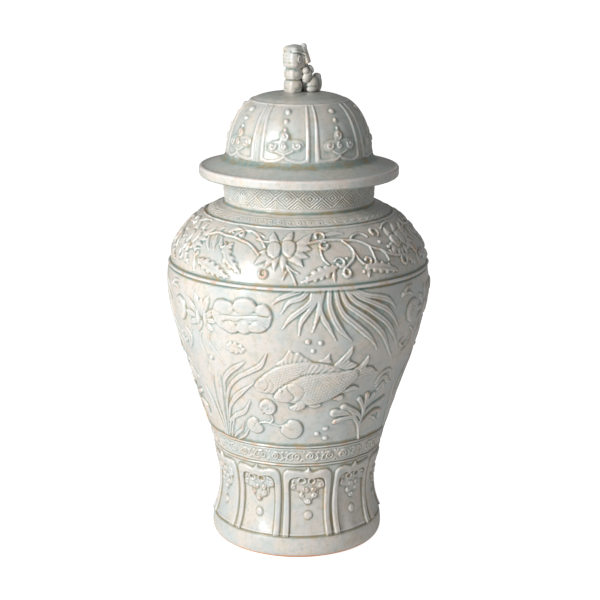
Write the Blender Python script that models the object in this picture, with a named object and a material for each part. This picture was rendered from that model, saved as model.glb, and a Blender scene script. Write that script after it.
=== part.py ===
"""Lidded temple jar of carved, celadon-glazed stoneware with a seated lion on its lid.

A jar this size is thrown in sections that are luted with slip while leather-hard: a foot with
its floor, a tall lower wall, a shoulder and a neck collar. The lid is a thrown dome and brim with
a locating ring luted under it and a modelled lion luted on top. Each of these is one object.
Metres, +Z up, origin on the table at the middle of the foot. The jar's front faces -Y.
"""

import math

import bmesh
import bpy
from mathutils import Matrix, Vector

# Overall sizes
BODY_HEIGHT = 0.4200
BODY_RADIUS = 0.1589
NECK_RADIUS = 0.0902
NECK_HEIGHT = 0.0367
WALL = 0.0070
SEAM = 0.0003
SEGMENTS = 48

# Foot, from the table up
FOOT_HEIGHT = 0.0290
FOOT_TOP_RADIUS = 0.6583 * BODY_RADIUS
FOOT_RADIUS = FOOT_TOP_RADIUS + 0.0015
FOOT_EDGE_RADIUS = FOOT_TOP_RADIUS - 0.0078
FOOT_BULGE_HEIGHT = 0.0125
FOOT_RING_WIDTH = 0.0130
FOOT_EDGE_BEVEL = 0.0012
FOOT_RECESS = 0.0060
FLOOR_THICKNESS = 0.0085
FLOOR_FILLET = 0.0100

# Wall below the widest line: share of body height, share of body radius, and slope as share per share
LOWER_STATIONS = (
    (FOOT_HEIGHT / BODY_HEIGHT, 0.6583, -1.19),
    (0.1762, 0.6010, 0.0),
    (0.2833, 0.6532, 0.634),
    (0.3500, 0.6986, 0.740),
    (0.5571, 0.8748, 0.899),
    (0.7857, 1.0, 0.0),
)
# Wall above it: share of body height, share of the way from neck radius to body radius, and slope
UPPER_STATIONS = (
    (0.7857, 1.0, 0.0),
    (0.8762, 0.9112, -2.26),
    (0.9436, 0.6332, -6.11),
    (0.9786, 0.3755, -10.39),
    (1.0, 0.1208, -13.45),
)
LUTE_HEIGHT = 0.8324 * BODY_HEIGHT

# Neck
LEDGE_RADIUS = NECK_RADIUS + 0.1208 * (BODY_RADIUS - NECK_RADIUS)
NECK_FOOT_HEIGHT = 0.0052
RIM_HEIGHT = BODY_HEIGHT + NECK_HEIGHT
RIM_ROUNDING = 0.0020

# Lid
FLANGE_CLEARANCE = 0.0030
FLANGE_WALL = 0.0060
FLANGE_DEPTH = 0.0185
FLANGE_CHAMFER = 0.0015
BRIM_RADIUS = NECK_RADIUS + 0.0300
BRIM_DRIP = 0.0027
BRIM_EDGE = 0.0122
BRIM_EDGE_ROUNDING = 0.0036
BRIM_RISE = 0.0115
BRIM_SEAT_MARGIN = 0.0050
DOME_RADIUS = NECK_RADIUS - 0.0018
DOME_BASE_HEIGHT = RIM_HEIGHT + 0.0173
DOME_HEIGHT = 0.0800
DOME_WALL = 0.0065
DOME_TOP_POWER = 1.9
DOME_SIDE_POWER = 3.9

# Lion, modelled round its own origin: +X is where it faces
LION_HEIGHT = 0.0585
LION_HEADING = math.radians(217)
LION_SINK = 0.0020
LION_SEAT = Vector((0.0005, 0.0, DOME_BASE_HEIGHT + DOME_HEIGHT))

CELADON = (0.70, 0.74, 0.69, 1.0)
BARE_CLAY = (0.72, 0.52, 0.38, 1.0)


def clear_scene():
    for obj in list(bpy.data.objects):
        bpy.data.objects.remove(obj)


def ceramic(name, colour, roughness):
    material = bpy.data.materials.new(name)
    material.use_nodes = True
    shader = material.node_tree.nodes["Principled BSDF"]
    shader.inputs["Base Color"].default_value = colour
    shader.inputs["Roughness"].default_value = roughness
    shader.inputs["Metallic"].default_value = 0.0
    return material


def show(name, bm, material):
    """The bmesh as an object of the scene, shaded smooth up to its real corners."""
    mesh = bpy.data.meshes.new(name)
    bm.to_mesh(mesh)
    bm.free()
    mesh.materials.append(material)
    mesh.shade_smooth()
    mesh.set_sharp_from_angle(angle=math.radians(35))
    obj = bpy.data.objects.new(name, mesh)
    bpy.context.scene.collection.objects.link(obj)
    return obj


def turned(name, outline, material):
    """A closed outline of (radius, height) points spun round the jar's axis."""
    bm = bmesh.new()
    corners = [bm.verts.new((radius, 0.0, height)) for radius, height in outline]
    edges = [bm.edges.new((a, b)) for a, b in zip(corners, corners[1:])]
    if outline[0][0] > 0.0:
        edges.append(bm.edges.new((corners[-1], corners[0])))
    bmesh.ops.spin(bm, geom=corners + edges, axis=(0, 0, 1), cent=(0, 0, 0), dvec=(0, 0, 0),
                   angle=math.tau, steps=SEGMENTS, use_merge=True, use_duplicate=False)
    bmesh.ops.remove_doubles(bm, verts=bm.verts, dist=1e-6)
    bmesh.ops.recalc_face_normals(bm, faces=bm.faces)
    return show(name, bm, material)


def arc(centre, radius, start_degrees, end_degrees, steps):
    """Points (radius, height) along an arc; 0 degrees points outwards and 90 up."""
    points = []
    for step in range(steps + 1):
        angle = math.radians(start_degrees + (end_degrees - start_degrees) * step / steps)
        points.append((centre[0] + radius * math.cos(angle), centre[1] + radius * math.sin(angle)))
    return points


def inset_line(points, distance):
    """The line moved inwards by distance, its two ends staying at their own heights."""
    last = len(points) - 1
    moved = []
    for index, (radius, height) in enumerate(points):
        before = points[max(index - 1, 0)]
        after = points[min(index + 1, last)]
        along = Vector((after[0] - before[0], after[1] - before[1])).normalized()
        if index in (0, last):
            moved.append((radius - distance / along.y, height))
        elif points[0][1] < height + along.x * distance < points[last][1]:
            moved.append((radius - along.y * distance, height + along.x * distance))
    return moved


# ---------------------------------------------------------------- jar wall

def wall_radius(height):
    """Outer radius at a height, on one smooth cubic between each pair of stations."""
    share = height / BODY_HEIGHT
    upper = share > UPPER_STATIONS[0][0]
    stations = UPPER_STATIONS if upper else LOWER_STATIONS
    pairs = list(zip(stations, stations[1:]))
    low, high = next((pair for pair in pairs if share <= pair[1][0]), pairs[-1])
    span = high[0] - low[0]
    t = (share - low[0]) / span
    value = (low[1] * (1 + 2 * t) * (1 - t) ** 2 + high[1] * t * t * (3 - 2 * t)
             + span * (low[2] * t * (1 - t) ** 2 - high[2] * t * t * (1 - t)))
    return NECK_RADIUS + value * (BODY_RADIUS - NECK_RADIUS) if upper else value * BODY_RADIUS


def wall_line(low, high, steps):
    return [(wall_radius(low + (high - low) * step / steps), low + (high - low) * step / steps)
            for step in range(steps + 1)]


def wall_section(name, outer, material):
    """A turned section: its outer line, bottom to top, and the same line one wall further in."""
    return turned(name, outer + inset_line(outer, WALL)[::-1], material)


def foot_and_base(glaze):
    """Foot ring, recess under the floor, floor and the first of the wall, turned in one."""
    ring_inner = FOOT_EDGE_RADIUS - FOOT_RING_WIDTH
    floor_top = FOOT_RECESS + FLOOR_THICKNESS
    wall_inner = FOOT_TOP_RADIUS - WALL
    swell = FOOT_RADIUS - FOOT_EDGE_RADIUS - FOOT_EDGE_BEVEL
    rise = FOOT_BULGE_HEIGHT - FOOT_EDGE_BEVEL
    outside = []
    for angle in (0, 18, 36, 54, 72, 90):
        turn = math.radians(angle)
        outside.append((FOOT_EDGE_RADIUS + FOOT_EDGE_BEVEL + swell * math.sin(turn),
                        FOOT_EDGE_BEVEL + rise * (1 - math.cos(turn))))
    middle = (FOOT_BULGE_HEIGHT + FOOT_HEIGHT) / 2
    outline = [(0.0, FOOT_RECESS), (ring_inner - FOOT_RECESS / 2, FOOT_RECESS)]
    outline += [(ring_inner, 0.0), (FOOT_EDGE_RADIUS, 0.0)]
    outline += outside
    outline += [((2 * FOOT_RADIUS + FOOT_TOP_RADIUS) / 3, middle), (FOOT_TOP_RADIUS, FOOT_HEIGHT - SEAM)]
    outline += [(wall_inner, FOOT_HEIGHT - SEAM)]
    fillet = min(FLOOR_FILLET, FOOT_HEIGHT - floor_top - 4 * SEAM)
    outline += arc((wall_inner - fillet, floor_top + fillet), fillet, 0, -90, 4)
    outline += [(0.0, floor_top)]
    return turned("foot_and_base", outline, glaze)


def neck_collar(glaze):
    """A short upright collar that flares into the shoulder and ends in a rounded rim."""
    bottom = BODY_HEIGHT + NECK_FOOT_HEIGHT
    inner = NECK_RADIUS - WALL
    straight_top = RIM_HEIGHT - RIM_ROUNDING
    outline = [(NECK_RADIUS, bottom), (NECK_RADIUS, (bottom + straight_top) / 2)]
    outline += arc((NECK_RADIUS - RIM_ROUNDING, straight_top), RIM_ROUNDING, 0, 90, 3)
    outline += arc((inner + RIM_ROUNDING, straight_top), RIM_ROUNDING, 90, 180, 3)
    outline += [(inner, bottom)]
    return turned("neck_collar", outline, glaze)


def shoulder_wall(glaze):
    """From the widest of the jar in to the neck, with a small hollow where the neck stands."""
    top = BODY_HEIGHT + NECK_FOOT_HEIGHT - SEAM
    hollow = LEDGE_RADIUS - NECK_RADIUS
    outer = wall_line(LUTE_HEIGHT, BODY_HEIGHT, 11)
    outer += [(NECK_RADIUS + 0.34 * hollow, BODY_HEIGHT + 0.42 * NECK_FOOT_HEIGHT),
              (NECK_RADIUS + 0.07 * hollow, BODY_HEIGHT + 0.76 * NECK_FOOT_HEIGHT),
              (NECK_RADIUS, top)]
    inner = inset_line(wall_line(LUTE_HEIGHT, BODY_HEIGHT, 7), WALL)
    neck_inner = NECK_RADIUS - WALL
    inner = [point for point in inner
             if point[0] > neck_inner + WALL / 2 and point[1] < BODY_HEIGHT - WALL / 2]
    inner += [(neck_inner + WALL / 4, BODY_HEIGHT - WALL / 3), (neck_inner, BODY_HEIGHT), (neck_inner, top)]
    return turned("shoulder_wall", outer + inner[::-1], glaze)


# ---------------------------------------------------------------- lid

def superellipse(radius, height, base, shares):
    """Dome points: the side stands nearly upright, then turns over to a low crown."""
    points = []
    for share in shares:
        rise = math.sin(share * math.pi / 2)
        reach = max(0.0, 1 - rise ** DOME_TOP_POWER) ** (1 / DOME_SIDE_POWER)
        points.append((radius * reach, base + height * rise))
    return points


def seat_height():
    return RIM_HEIGHT + SEAM


def lid_dome_and_brim(glaze):
    """Dome, sloping brim with a rolled edge, and the flat under the brim that sits on the rim."""
    seat = seat_height()
    opening = NECK_RADIUS - WALL - FLANGE_CLEARANCE - FLANGE_WALL
    drip = seat - BRIM_DRIP
    edge_top = drip + BRIM_EDGE
    roll = BRIM_EDGE_ROUNDING
    shares = [step / 13 for step in range(1, 14)]
    outline = [(opening, seat), (NECK_RADIUS + BRIM_SEAT_MARGIN, seat), (BRIM_RADIUS - 2 * roll, drip)]
    outline += arc((BRIM_RADIUS - roll, drip + roll), roll, -80, 0, 3)
    outline += arc((BRIM_RADIUS - roll, edge_top - roll), roll, 0, 72, 3)
    slope = BRIM_RADIUS - roll - DOME_RADIUS
    outline += [(DOME_RADIUS + 0.45 * slope, edge_top + 0.58 * BRIM_RISE),
                (DOME_RADIUS + 0.10 * slope, edge_top + 0.90 * BRIM_RISE)]
    outline += [p for p in superellipse(DOME_RADIUS, DOME_HEIGHT, DOME_BASE_HEIGHT, shares)
                if p[1] > edge_top + BRIM_RISE]
    inside = superellipse(DOME_RADIUS - DOME_WALL, DOME_HEIGHT - DOME_WALL, DOME_BASE_HEIGHT,
                          [step / 10 for step in range(1, 11)])
    outline += inside[::-1]
    outline += [(opening + 0.4 * (DOME_RADIUS - DOME_WALL - opening), (seat + DOME_BASE_HEIGHT) / 2)]
    return closed_dome("lid_dome_and_brim", outline, glaze)


def closed_dome(name, outline, material):
    """A turned shell whose outer and inner lines both reach the axis: it is spun as two lines."""
    crown = [index for index, point in enumerate(outline) if point[0] < 1e-6]
    bm = bmesh.new()
    corners = [bm.verts.new((radius, 0.0, height)) for radius, height in outline]
    edges = [bm.edges.new((a, b)) for a, b in zip(corners, corners[1:])
             if not (a is corners[crown[0]] and b is corners[crown[1]])]
    edges.append(bm.edges.new((corners[-1], corners[0])))
    bmesh.ops.spin(bm, geom=corners + edges, axis=(0, 0, 1), cent=(0, 0, 0), dvec=(0, 0, 0),
                   angle=math.tau, steps=SEGMENTS, use_merge=True, use_duplicate=False)
    bmesh.ops.remove_doubles(bm, verts=bm.verts, dist=1e-6)
    bmesh.ops.recalc_face_normals(bm, faces=bm.faces)
    return show(name, bm, material)


def lid_flange(clay):
    """The unglazed ring under the lid that keeps it from sliding off the neck."""
    top = seat_height() - SEAM
    outer = NECK_RADIUS - WALL - FLANGE_CLEARANCE
    inner = outer - FLANGE_WALL
    bottom = top - FLANGE_DEPTH
    outline = [(inner, top), (inner, bottom), (outer - FLANGE_CHAMFER, bottom)]
    outline += [(outer, bottom + FLANGE_CHAMFER), (outer, top)]
    return turned("lid_flange", outline, clay)


# ---------------------------------------------------------------- lion

# Each lump of the lion: centre, half sizes and pitch in degrees, as shares of its height.
LION_LUMPS = {
    "trunk": ((-0.02, 0.0, 0.28), (0.20, 0.19, 0.30), -28),
    "rump": ((-0.17, 0.0, 0.17), (0.19, 0.21, 0.20), 0),
    "mane": ((0.02, 0.0, 0.56), (0.21, 0.22, 0.24), 0),
    "head": ((0.13, 0.0, 0.72), (0.22, 0.19, 0.21), 0),
    "muzzle": ((0.27, 0.0, 0.65), (0.15, 0.17, 0.15), 8),
    "brow": ((0.18, 0.0, 0.86), (0.18, 0.16, 0.06), -14),
    "topknot": ((0.04, 0.0, 0.945), (0.065, 0.065, 0.055), 0),
    "tail": ((-0.34, 0.0, 0.22), (0.10, 0.10, 0.21), 16),
}
LION_PAIRED_LUMPS = {
    "foreleg": ((0.20, 0.115, 0.22), (0.095, 0.095, 0.26), 4),
    "forepaw": ((0.27, 0.115, 0.05), (0.12, 0.10, 0.08), 0),
    "haunch": ((-0.10, 0.19, 0.16), (0.17, 0.10, 0.17), 0),
    "hindpaw": ((0.04, 0.22, 0.045), (0.14, 0.08, 0.07), 0),
    "ear": ((-0.04, 0.205, 0.72), (0.08, 0.05, 0.15), -20),
}


def lump(name, centre, half_sizes, pitch_degrees, side=1):
    """One rounded lump as a hidden guide that the Boolean union takes up."""
    bm = bmesh.new()
    bmesh.ops.create_icosphere(bm, subdivisions=2, radius=1.0)
    place = (Matrix.Translation(Vector((centre[0], centre[1] * side, centre[2])) * LION_HEIGHT)
             @ Matrix.Rotation(math.radians(pitch_degrees), 4, "Y")
             @ Matrix.Diagonal(Vector((*half_sizes, 1.0))) @ Matrix.Diagonal((LION_HEIGHT,) * 3 + (1.0,)))
    stand = Matrix.Translation(LION_SEAT - Vector((0, 0, LION_SINK))) @ Matrix.Rotation(LION_HEADING, 4, "Z")
    bm.transform(stand @ place)
    mesh = bpy.data.meshes.new(name)
    bm.to_mesh(mesh)
    bm.free()
    obj = bpy.data.objects.new(name, mesh)
    obj.hide_render = True
    obj.display_type = "WIRE"
    return obj


def dome_cutter():
    """A guide the shape of the dome, one seam larger, that hollows the lion's underside to fit."""
    crown = superellipse(DOME_RADIUS + SEAM, DOME_HEIGHT + SEAM, DOME_BASE_HEIGHT,
                         [step / 13 for step in range(0, 14)])
    guide = turned("dome_cutter", [(0.0, DOME_BASE_HEIGHT)] + crown, bpy.data.materials["celadon_glaze"])
    guide.hide_render = True
    guide.display_type = "WIRE"
    return guide


def lion_finial(glaze):
    """A seated lion looking over the front of the jar, its lumps joined into one piece."""
    lumps = bpy.data.collections.new("lion_lumps")
    bpy.context.scene.collection.children.link(lumps)
    for name, (centre, half_sizes, pitch) in LION_LUMPS.items():
        if name != "trunk":
            lumps.objects.link(lump(name, centre, half_sizes, pitch))
    for name, (centre, half_sizes, pitch) in LION_PAIRED_LUMPS.items():
        for side, label in ((1, "left"), (-1, "right")):
            lumps.objects.link(lump(f"{name}_{label}", centre, half_sizes, pitch, side))
    lion = lump("lion_finial", *LION_LUMPS["trunk"])
    lion.hide_render = False
    lion.display_type = "TEXTURED"
    lion.data.materials.append(glaze)
    bpy.context.scene.collection.objects.link(lion)
    join = lion.modifiers.new("join_lumps", "BOOLEAN")
    join.operation = "UNION"
    join.operand_type = "COLLECTION"
    join.collection = lumps
    fit = lion.modifiers.new("fit_to_dome", "BOOLEAN")
    fit.operation = "DIFFERENCE"
    fit.object = dome_cutter()
    return lion


def main():
    clear_scene()
    glaze = ceramic("celadon_glaze", CELADON, 0.15)
    clay = ceramic("bare_stoneware", BARE_CLAY, 0.8)
    jar = bpy.data.objects.new("jar", None)
    lid = bpy.data.objects.new("lid", None)
    for empty in (jar, lid):
        bpy.context.scene.collection.objects.link(empty)
    lower = wall_line(FOOT_HEIGHT, LUTE_HEIGHT - SEAM, 20)
    jar_pieces = (foot_and_base(glaze), wall_section("lower_wall", lower, glaze),
                  shoulder_wall(glaze), neck_collar(glaze))
    lid_pieces = (lid_dome_and_brim(glaze), lid_flange(clay), lion_finial(glaze))
    for empty, pieces in ((jar, jar_pieces), (lid, lid_pieces)):
        for piece in pieces:
            piece.parent = empty


main()
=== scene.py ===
"""Looks of the lidded temple jar: carved stoneware under a crackled celadon glaze.

The jar is a set of turned rings, each a bmesh grid wrapped round the axis. The carving is worked
out as a relief, in millimetres of clay, on one sheet per ring and pushed out along the wall.
A place on a sheet is (degrees round from the front, millimetres up the wall).
"""
import math

import bmesh
import bpy
import numpy as np
from mathutils import Matrix, Vector


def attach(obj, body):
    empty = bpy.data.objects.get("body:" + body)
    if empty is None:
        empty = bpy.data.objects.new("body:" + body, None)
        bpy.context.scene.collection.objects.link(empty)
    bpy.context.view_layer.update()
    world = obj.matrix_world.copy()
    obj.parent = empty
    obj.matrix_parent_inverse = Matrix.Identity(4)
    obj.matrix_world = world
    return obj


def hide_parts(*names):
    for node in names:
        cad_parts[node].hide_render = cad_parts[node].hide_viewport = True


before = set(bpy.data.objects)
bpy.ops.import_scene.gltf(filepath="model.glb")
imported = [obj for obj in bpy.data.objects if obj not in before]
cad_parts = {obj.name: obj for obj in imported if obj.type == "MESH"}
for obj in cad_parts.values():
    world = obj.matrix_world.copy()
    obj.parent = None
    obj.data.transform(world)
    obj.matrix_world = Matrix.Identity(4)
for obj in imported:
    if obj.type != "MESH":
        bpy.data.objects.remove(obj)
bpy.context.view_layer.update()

MM = 0.001
COLUMNS = 1080
DOME_COLUMNS = 720
STEP = 0.86  # mm between rows
WANDER = 0.55  # mm that hand carving strays from its drawing
LEAF_HEIGHT, LEAF_LOBE = 2.4, 8.6  # mm: relief of a curly leaf, and one lobe's share of its edge
LION_SEAT = 553.4  # mm, the height of the dome where the lion sits
CAMERA_LENS, CAMERA_SENSOR, CAMERA_SHIFT = 94.4, 36.0, 0.0032  # mm, mm, share of the frame
CAMERA_BACK, CAMERA_UP = 1.873, 0.776  # m from the jar's axis and above the floor
CAMERA_DIP, CAMERA_ROLL = 14.32, 0.40  # degrees

# ---------------------------------------------------------------- materials


def linear(hex_colour):
    """sRGB hex to linear RGBA."""
    parts = [int(hex_colour[i:i + 2], 16) / 255 for i in (1, 3, 5)]
    return tuple(p / 12.92 if p <= 0.04045 else ((p + 0.055) / 1.055) ** 2.4 for p in parts) + (1.0,)


def add(tree, kind, settings=None, inputs=None):
    """One node with its settings; an input is a value or another node's socket."""
    new = tree.nodes.new(kind)
    for name, value in (settings or {}).items():
        setattr(new, name, value)
    for name, value in (inputs or {}).items():
        if isinstance(value, bpy.types.NodeSocket):
            tree.links.new(value, new.inputs[name])
        else:
            new.inputs[name].default_value = value
    return new


def new_material(name):
    material = bpy.data.materials.new(name)
    material.use_nodes = True
    material.node_tree.nodes.clear()
    return material, material.node_tree


def celadon_glaze():
    """Celadon: a thick, glossy iron glaze fired on buff stoneware.

    It runs off crests, where warm clay glows through, and pools grey-green in the hollows, olive
    where it is thickest. A fine net of crackle and a few iron specks lie under the glassy surface.
    """
    material, tree = new_material("celadon_glaze")
    place = add(tree, "ShaderNodeTexCoord").outputs["Object"]
    hollow = add(tree, "ShaderNodeAttribute", {"attribute_name": "hollow"}).outputs["Fac"]
    crest = add(tree, "ShaderNodeAttribute", {"attribute_name": "crest"}).outputs["Fac"]
    running = add(tree, "ShaderNodeVectorMath", {"operation": "MULTIPLY"},
        {0: place, 1: (1.0, 1.0, 0.16)}).outputs["Vector"]

    def noise(size_mm, detail, rough=0.5, where=None):
        return add(tree, "ShaderNodeTexNoise", {}, {
            "Vector": where or place, "Scale": 1000 / size_mm, "Detail": detail, "Roughness": rough}).outputs["Fac"]

    def ranged(value, low, high, to_low=0.0, to_high=1.0):
        return add(tree, "ShaderNodeMapRange", {"interpolation_type": "SMOOTHSTEP"}, {
            "Value": value, "From Min": low, "From Max": high,
            "To Min": to_low, "To Max": to_high}).outputs["Result"]

    def times(a, b):
        return add(tree, "ShaderNodeMath", {"operation": "MULTIPLY"}, {0: a, 1: b}).outputs[0]

    def mixed(factor, a, b):
        return add(tree, "ShaderNodeMix", {"data_type": "RGBA"}, {
            "Factor": factor, "A": a, "B": b}).outputs["Result"]

    broad, cloud, mottle = noise(120, 2), noise(24, 3), noise(6.5, 3, 0.6)
    flush, runs = noise(13, 3, 0.6), noise(5.0, 2, 0.5, running)
    tone = mixed(ranged(broad, 0.40, 0.60), linear("#C6CAC8"), linear("#D5D0CA"))
    tone = mixed(ranged(cloud, 0.42, 0.62, 0.0, 0.65), tone, linear("#DBCFC2"))
    tone = mixed(ranged(mottle, 0.46, 0.68, 0.0, 0.50), tone, linear("#AFBAB4"))
    tone = mixed(times(ranged(flush, 0.54, 0.66), ranged(broad, 0.44, 0.60, 0.15, 0.45)), tone, linear("#D9C2A6"))
    tone = mixed(ranged(hollow, 0.05, 0.8, 0.0, 0.80), tone, linear("#97A8A1"))
    tone = mixed(times(ranged(hollow, 0.15, 0.8), ranged(runs, 0.48, 0.62, 0.0, 0.6)), tone, linear("#7F9C98"))
    tone = mixed(ranged(hollow, 0.6, 1.5, 0.0, 0.85), tone, linear("#6B7E78"))
    warm_pool = times(ranged(hollow, 0.22, 0.9), ranged(flush, 0.43, 0.62))
    tone = mixed(times(warm_pool, 0.80), tone, linear("#A28E64"))
    height = add(tree, "ShaderNodeSeparateXYZ", {}, {"Vector": place}).outputs["Z"]
    low_pool = times(ranged(hollow, 0.15, 0.8, 0.0, 0.6), ranged(height, 0.08, 0.18, 1.0, 0.0))
    tone = mixed(low_pool, tone, linear("#A09272"))
    tone = mixed(ranged(crest, 0.08, 0.9, 0.0, 0.80), tone, linear("#E0DCD9"))
    flushed = times(ranged(crest, 0.45, 1.2), ranged(flush, 0.50, 0.61))
    tone = mixed(times(flushed, 0.72), tone, linear("#D9A886"))
    # Crackle: cells of about 7 mm split by a finer net of about 3 mm.
    crackle = []
    for size_mm, width in ((7.0, 0.030), (3.0, 0.040)):
        wander = add(tree, "ShaderNodeVectorMath", {"operation": "MULTIPLY_ADD"}, {
            0: add(tree, "ShaderNodeTexNoise", {}, {"Vector": place, "Scale": 90.0}).outputs["Color"],
            1: (0.004, 0.004, 0.004), 2: place}).outputs["Vector"]
        cells = add(tree, "ShaderNodeTexVoronoi", {"feature": "DISTANCE_TO_EDGE"}, {
            "Vector": wander, "Scale": 1000 / size_mm}).outputs["Distance"]
        crackle.append(ranged(cells, 0.0, width, 1.0, 0.0))
    net = add(tree, "ShaderNodeMath", {"operation": "MAXIMUM"}, {
        0: times(crackle[0], ranged(cloud, 0.35, 0.6, 0.05, 0.24)),
        1: times(crackle[1], ranged(broad, 0.42, 0.58, 0.03, 0.16))}).outputs[0]
    tone = mixed(net, tone, linear("#8A877C"))
    # Iron specks: one dot in some cells of about 11 mm.
    cells = add(tree, "ShaderNodeTexVoronoi", {}, {"Vector": place, "Scale": 90.0})
    chosen = add(tree, "ShaderNodeSeparateColor", {}, {"Color": cells.outputs["Color"]}).outputs["Red"]
    specks = times(ranged(cells.outputs["Distance"], 0.03, 0.055, 1.0, 0.0), ranged(chosen, 0.86, 0.88))
    tone = mixed(times(specks, 0.7), tone, linear("#86674A"))
    # The lowest few millimetres of the foot are wiped bare and burnt orange.
    edge = add(tree, "ShaderNodeMath", {"operation": "MULTIPLY_ADD"}, {
        0: cloud, 1: -0.0040, 2: height}).outputs[0]
    bare = ranged(edge, 0.0022, 0.0034, 1.0, 0.0)
    tone = mixed(bare, tone, mixed(flush, linear("#D58F5E"), linear("#E0B08A")))

    rough = add(tree, "ShaderNodeMix", {}, {
        "Factor": bare, "A": ranged(cloud, 0.3, 0.7, 0.30, 0.42), "B": 0.78}).outputs["Result"]
    ripple = add(tree, "ShaderNodeMath", {"operation": "MULTIPLY_ADD"}, {
        0: noise(4.0, 2), 1: 0.40, 2: noise(12, 1)}).outputs[0]
    ripple = add(tree, "ShaderNodeMath", {"operation": "MULTIPLY_ADD"}, {0: net, 1: -0.3, 2: ripple}).outputs[0]
    bump = add(tree, "ShaderNodeBump", {}, {"Strength": 0.45, "Distance": 0.0006, "Height": ripple}).outputs["Normal"]
    shader = add(tree, "ShaderNodeBsdfPrincipled", {}, {
        "Base Color": tone, "Roughness": rough, "IOR": 1.5, "Normal": bump, "Coat Normal": bump,
        "Coat Weight": add(tree, "ShaderNodeMath", {"operation": "SUBTRACT"}, {0: 0.30, 1: bare}).outputs[0],
        "Coat Roughness": 0.17, "Coat IOR": 1.5})
    add(tree, "ShaderNodeOutputMaterial", {}, {"Surface": shader.outputs["BSDF"]})
    return material


def bare_stoneware():
    """Stoneware: fired clay left bare where the lid rests in the kiln.

    It is dry, sandy and flashed orange, with faint turning lines.
    """
    material, tree = new_material("bare_stoneware")
    place = add(tree, "ShaderNodeTexCoord").outputs["Object"]
    grog = add(tree, "ShaderNodeTexNoise", {}, {"Vector": place, "Scale": 900.0, "Detail": 4.0}).outputs["Fac"]
    cloud = add(tree, "ShaderNodeTexNoise", {}, {"Vector": place, "Scale": 35.0, "Detail": 3.0}).outputs["Fac"]
    flashed = add(tree, "ShaderNodeMix", {"data_type": "RGBA"}, {
        "Factor": cloud, "A": linear("#D3A27C"), "B": linear("#E0C0A2")}).outputs["Result"]
    sandy = add(tree, "ShaderNodeMapRange", {}, {
        "Value": grog, "From Min": 0.55, "From Max": 0.75, "To Max": 0.35}).outputs["Result"]
    tone = add(tree, "ShaderNodeMix", {"data_type": "RGBA"}, {
        "Factor": sandy, "A": flashed, "B": linear("#9A7454")}).outputs["Result"]
    turning = add(tree, "ShaderNodeTexWave", {"bands_direction": "Z"}, {
        "Vector": place, "Scale": 160.0, "Distortion": 1.5}).outputs["Fac"]
    grain = add(tree, "ShaderNodeMath", {"operation": "MULTIPLY_ADD"}, {0: turning, 1: 0.4, 2: grog}).outputs[0]
    bump = add(tree, "ShaderNodeBump", {}, {"Strength": 0.5, "Distance": 0.0004, "Height": grain})
    shader = add(tree, "ShaderNodeBsdfPrincipled", {}, {
        "Base Color": tone, "Roughness": 0.82, "IOR": 1.5, "Normal": bump.outputs["Normal"]})
    add(tree, "ShaderNodeOutputMaterial", {}, {"Surface": shader.outputs["BSDF"]})
    return material


def studio_floor():
    """Matt white paper sweep, overexposed behind the jar as in a catalogue."""
    material, tree = new_material("studio_floor")
    place = add(tree, "ShaderNodeTexCoord").outputs["Object"]
    tooth = add(tree, "ShaderNodeTexNoise", {}, {"Vector": place, "Scale": 40.0}).outputs["Fac"]
    rough = add(tree, "ShaderNodeMapRange", {}, {"Value": tooth, "To Min": 0.85, "To Max": 0.95}).outputs["Result"]
    seen = add(tree, "ShaderNodeLightPath").outputs["Is Camera Ray"]
    glow = add(tree, "ShaderNodeMapRange", {}, {"Value": seen, "To Min": 0.08, "To Max": 0.92}).outputs["Result"]
    shader = add(tree, "ShaderNodeBsdfPrincipled", {}, {
        "Base Color": linear("#F4F4F3"), "Roughness": rough, "Specular IOR Level": 0.1,
        "Emission Color": (1.0, 1.0, 1.0, 1.0), "Emission Strength": glow})
    add(tree, "ShaderNodeOutputMaterial", {}, {"Surface": shader.outputs["BSDF"]})
    return material


# ---------------------------------------------------------------- clay sheets


def smooth_path(points, count, closed=False):
    """A Catmull-Rom curve through rows of numbers, resampled to count points."""
    knots = np.array(points, float)
    if closed:
        knots = np.vstack([knots[-1], knots, knots[0], knots[1]])
    else:
        knots = np.vstack([2 * knots[0] - knots[1], knots, 2 * knots[-1] - knots[-2]])
    spans = len(knots) - 3
    where = np.linspace(0, spans, count, endpoint=not closed)
    index = np.minimum(where.astype(int), spans - 1)
    t = (where - index)[:, None]
    a, b, c, d = (knots[index + k] for k in range(4))
    return 0.5 * (2 * b + (c - a) * t + (2 * a - 5 * b + 4 * c - d) * t ** 2 + (3 * b - a - 3 * c + d) * t ** 3)


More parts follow.
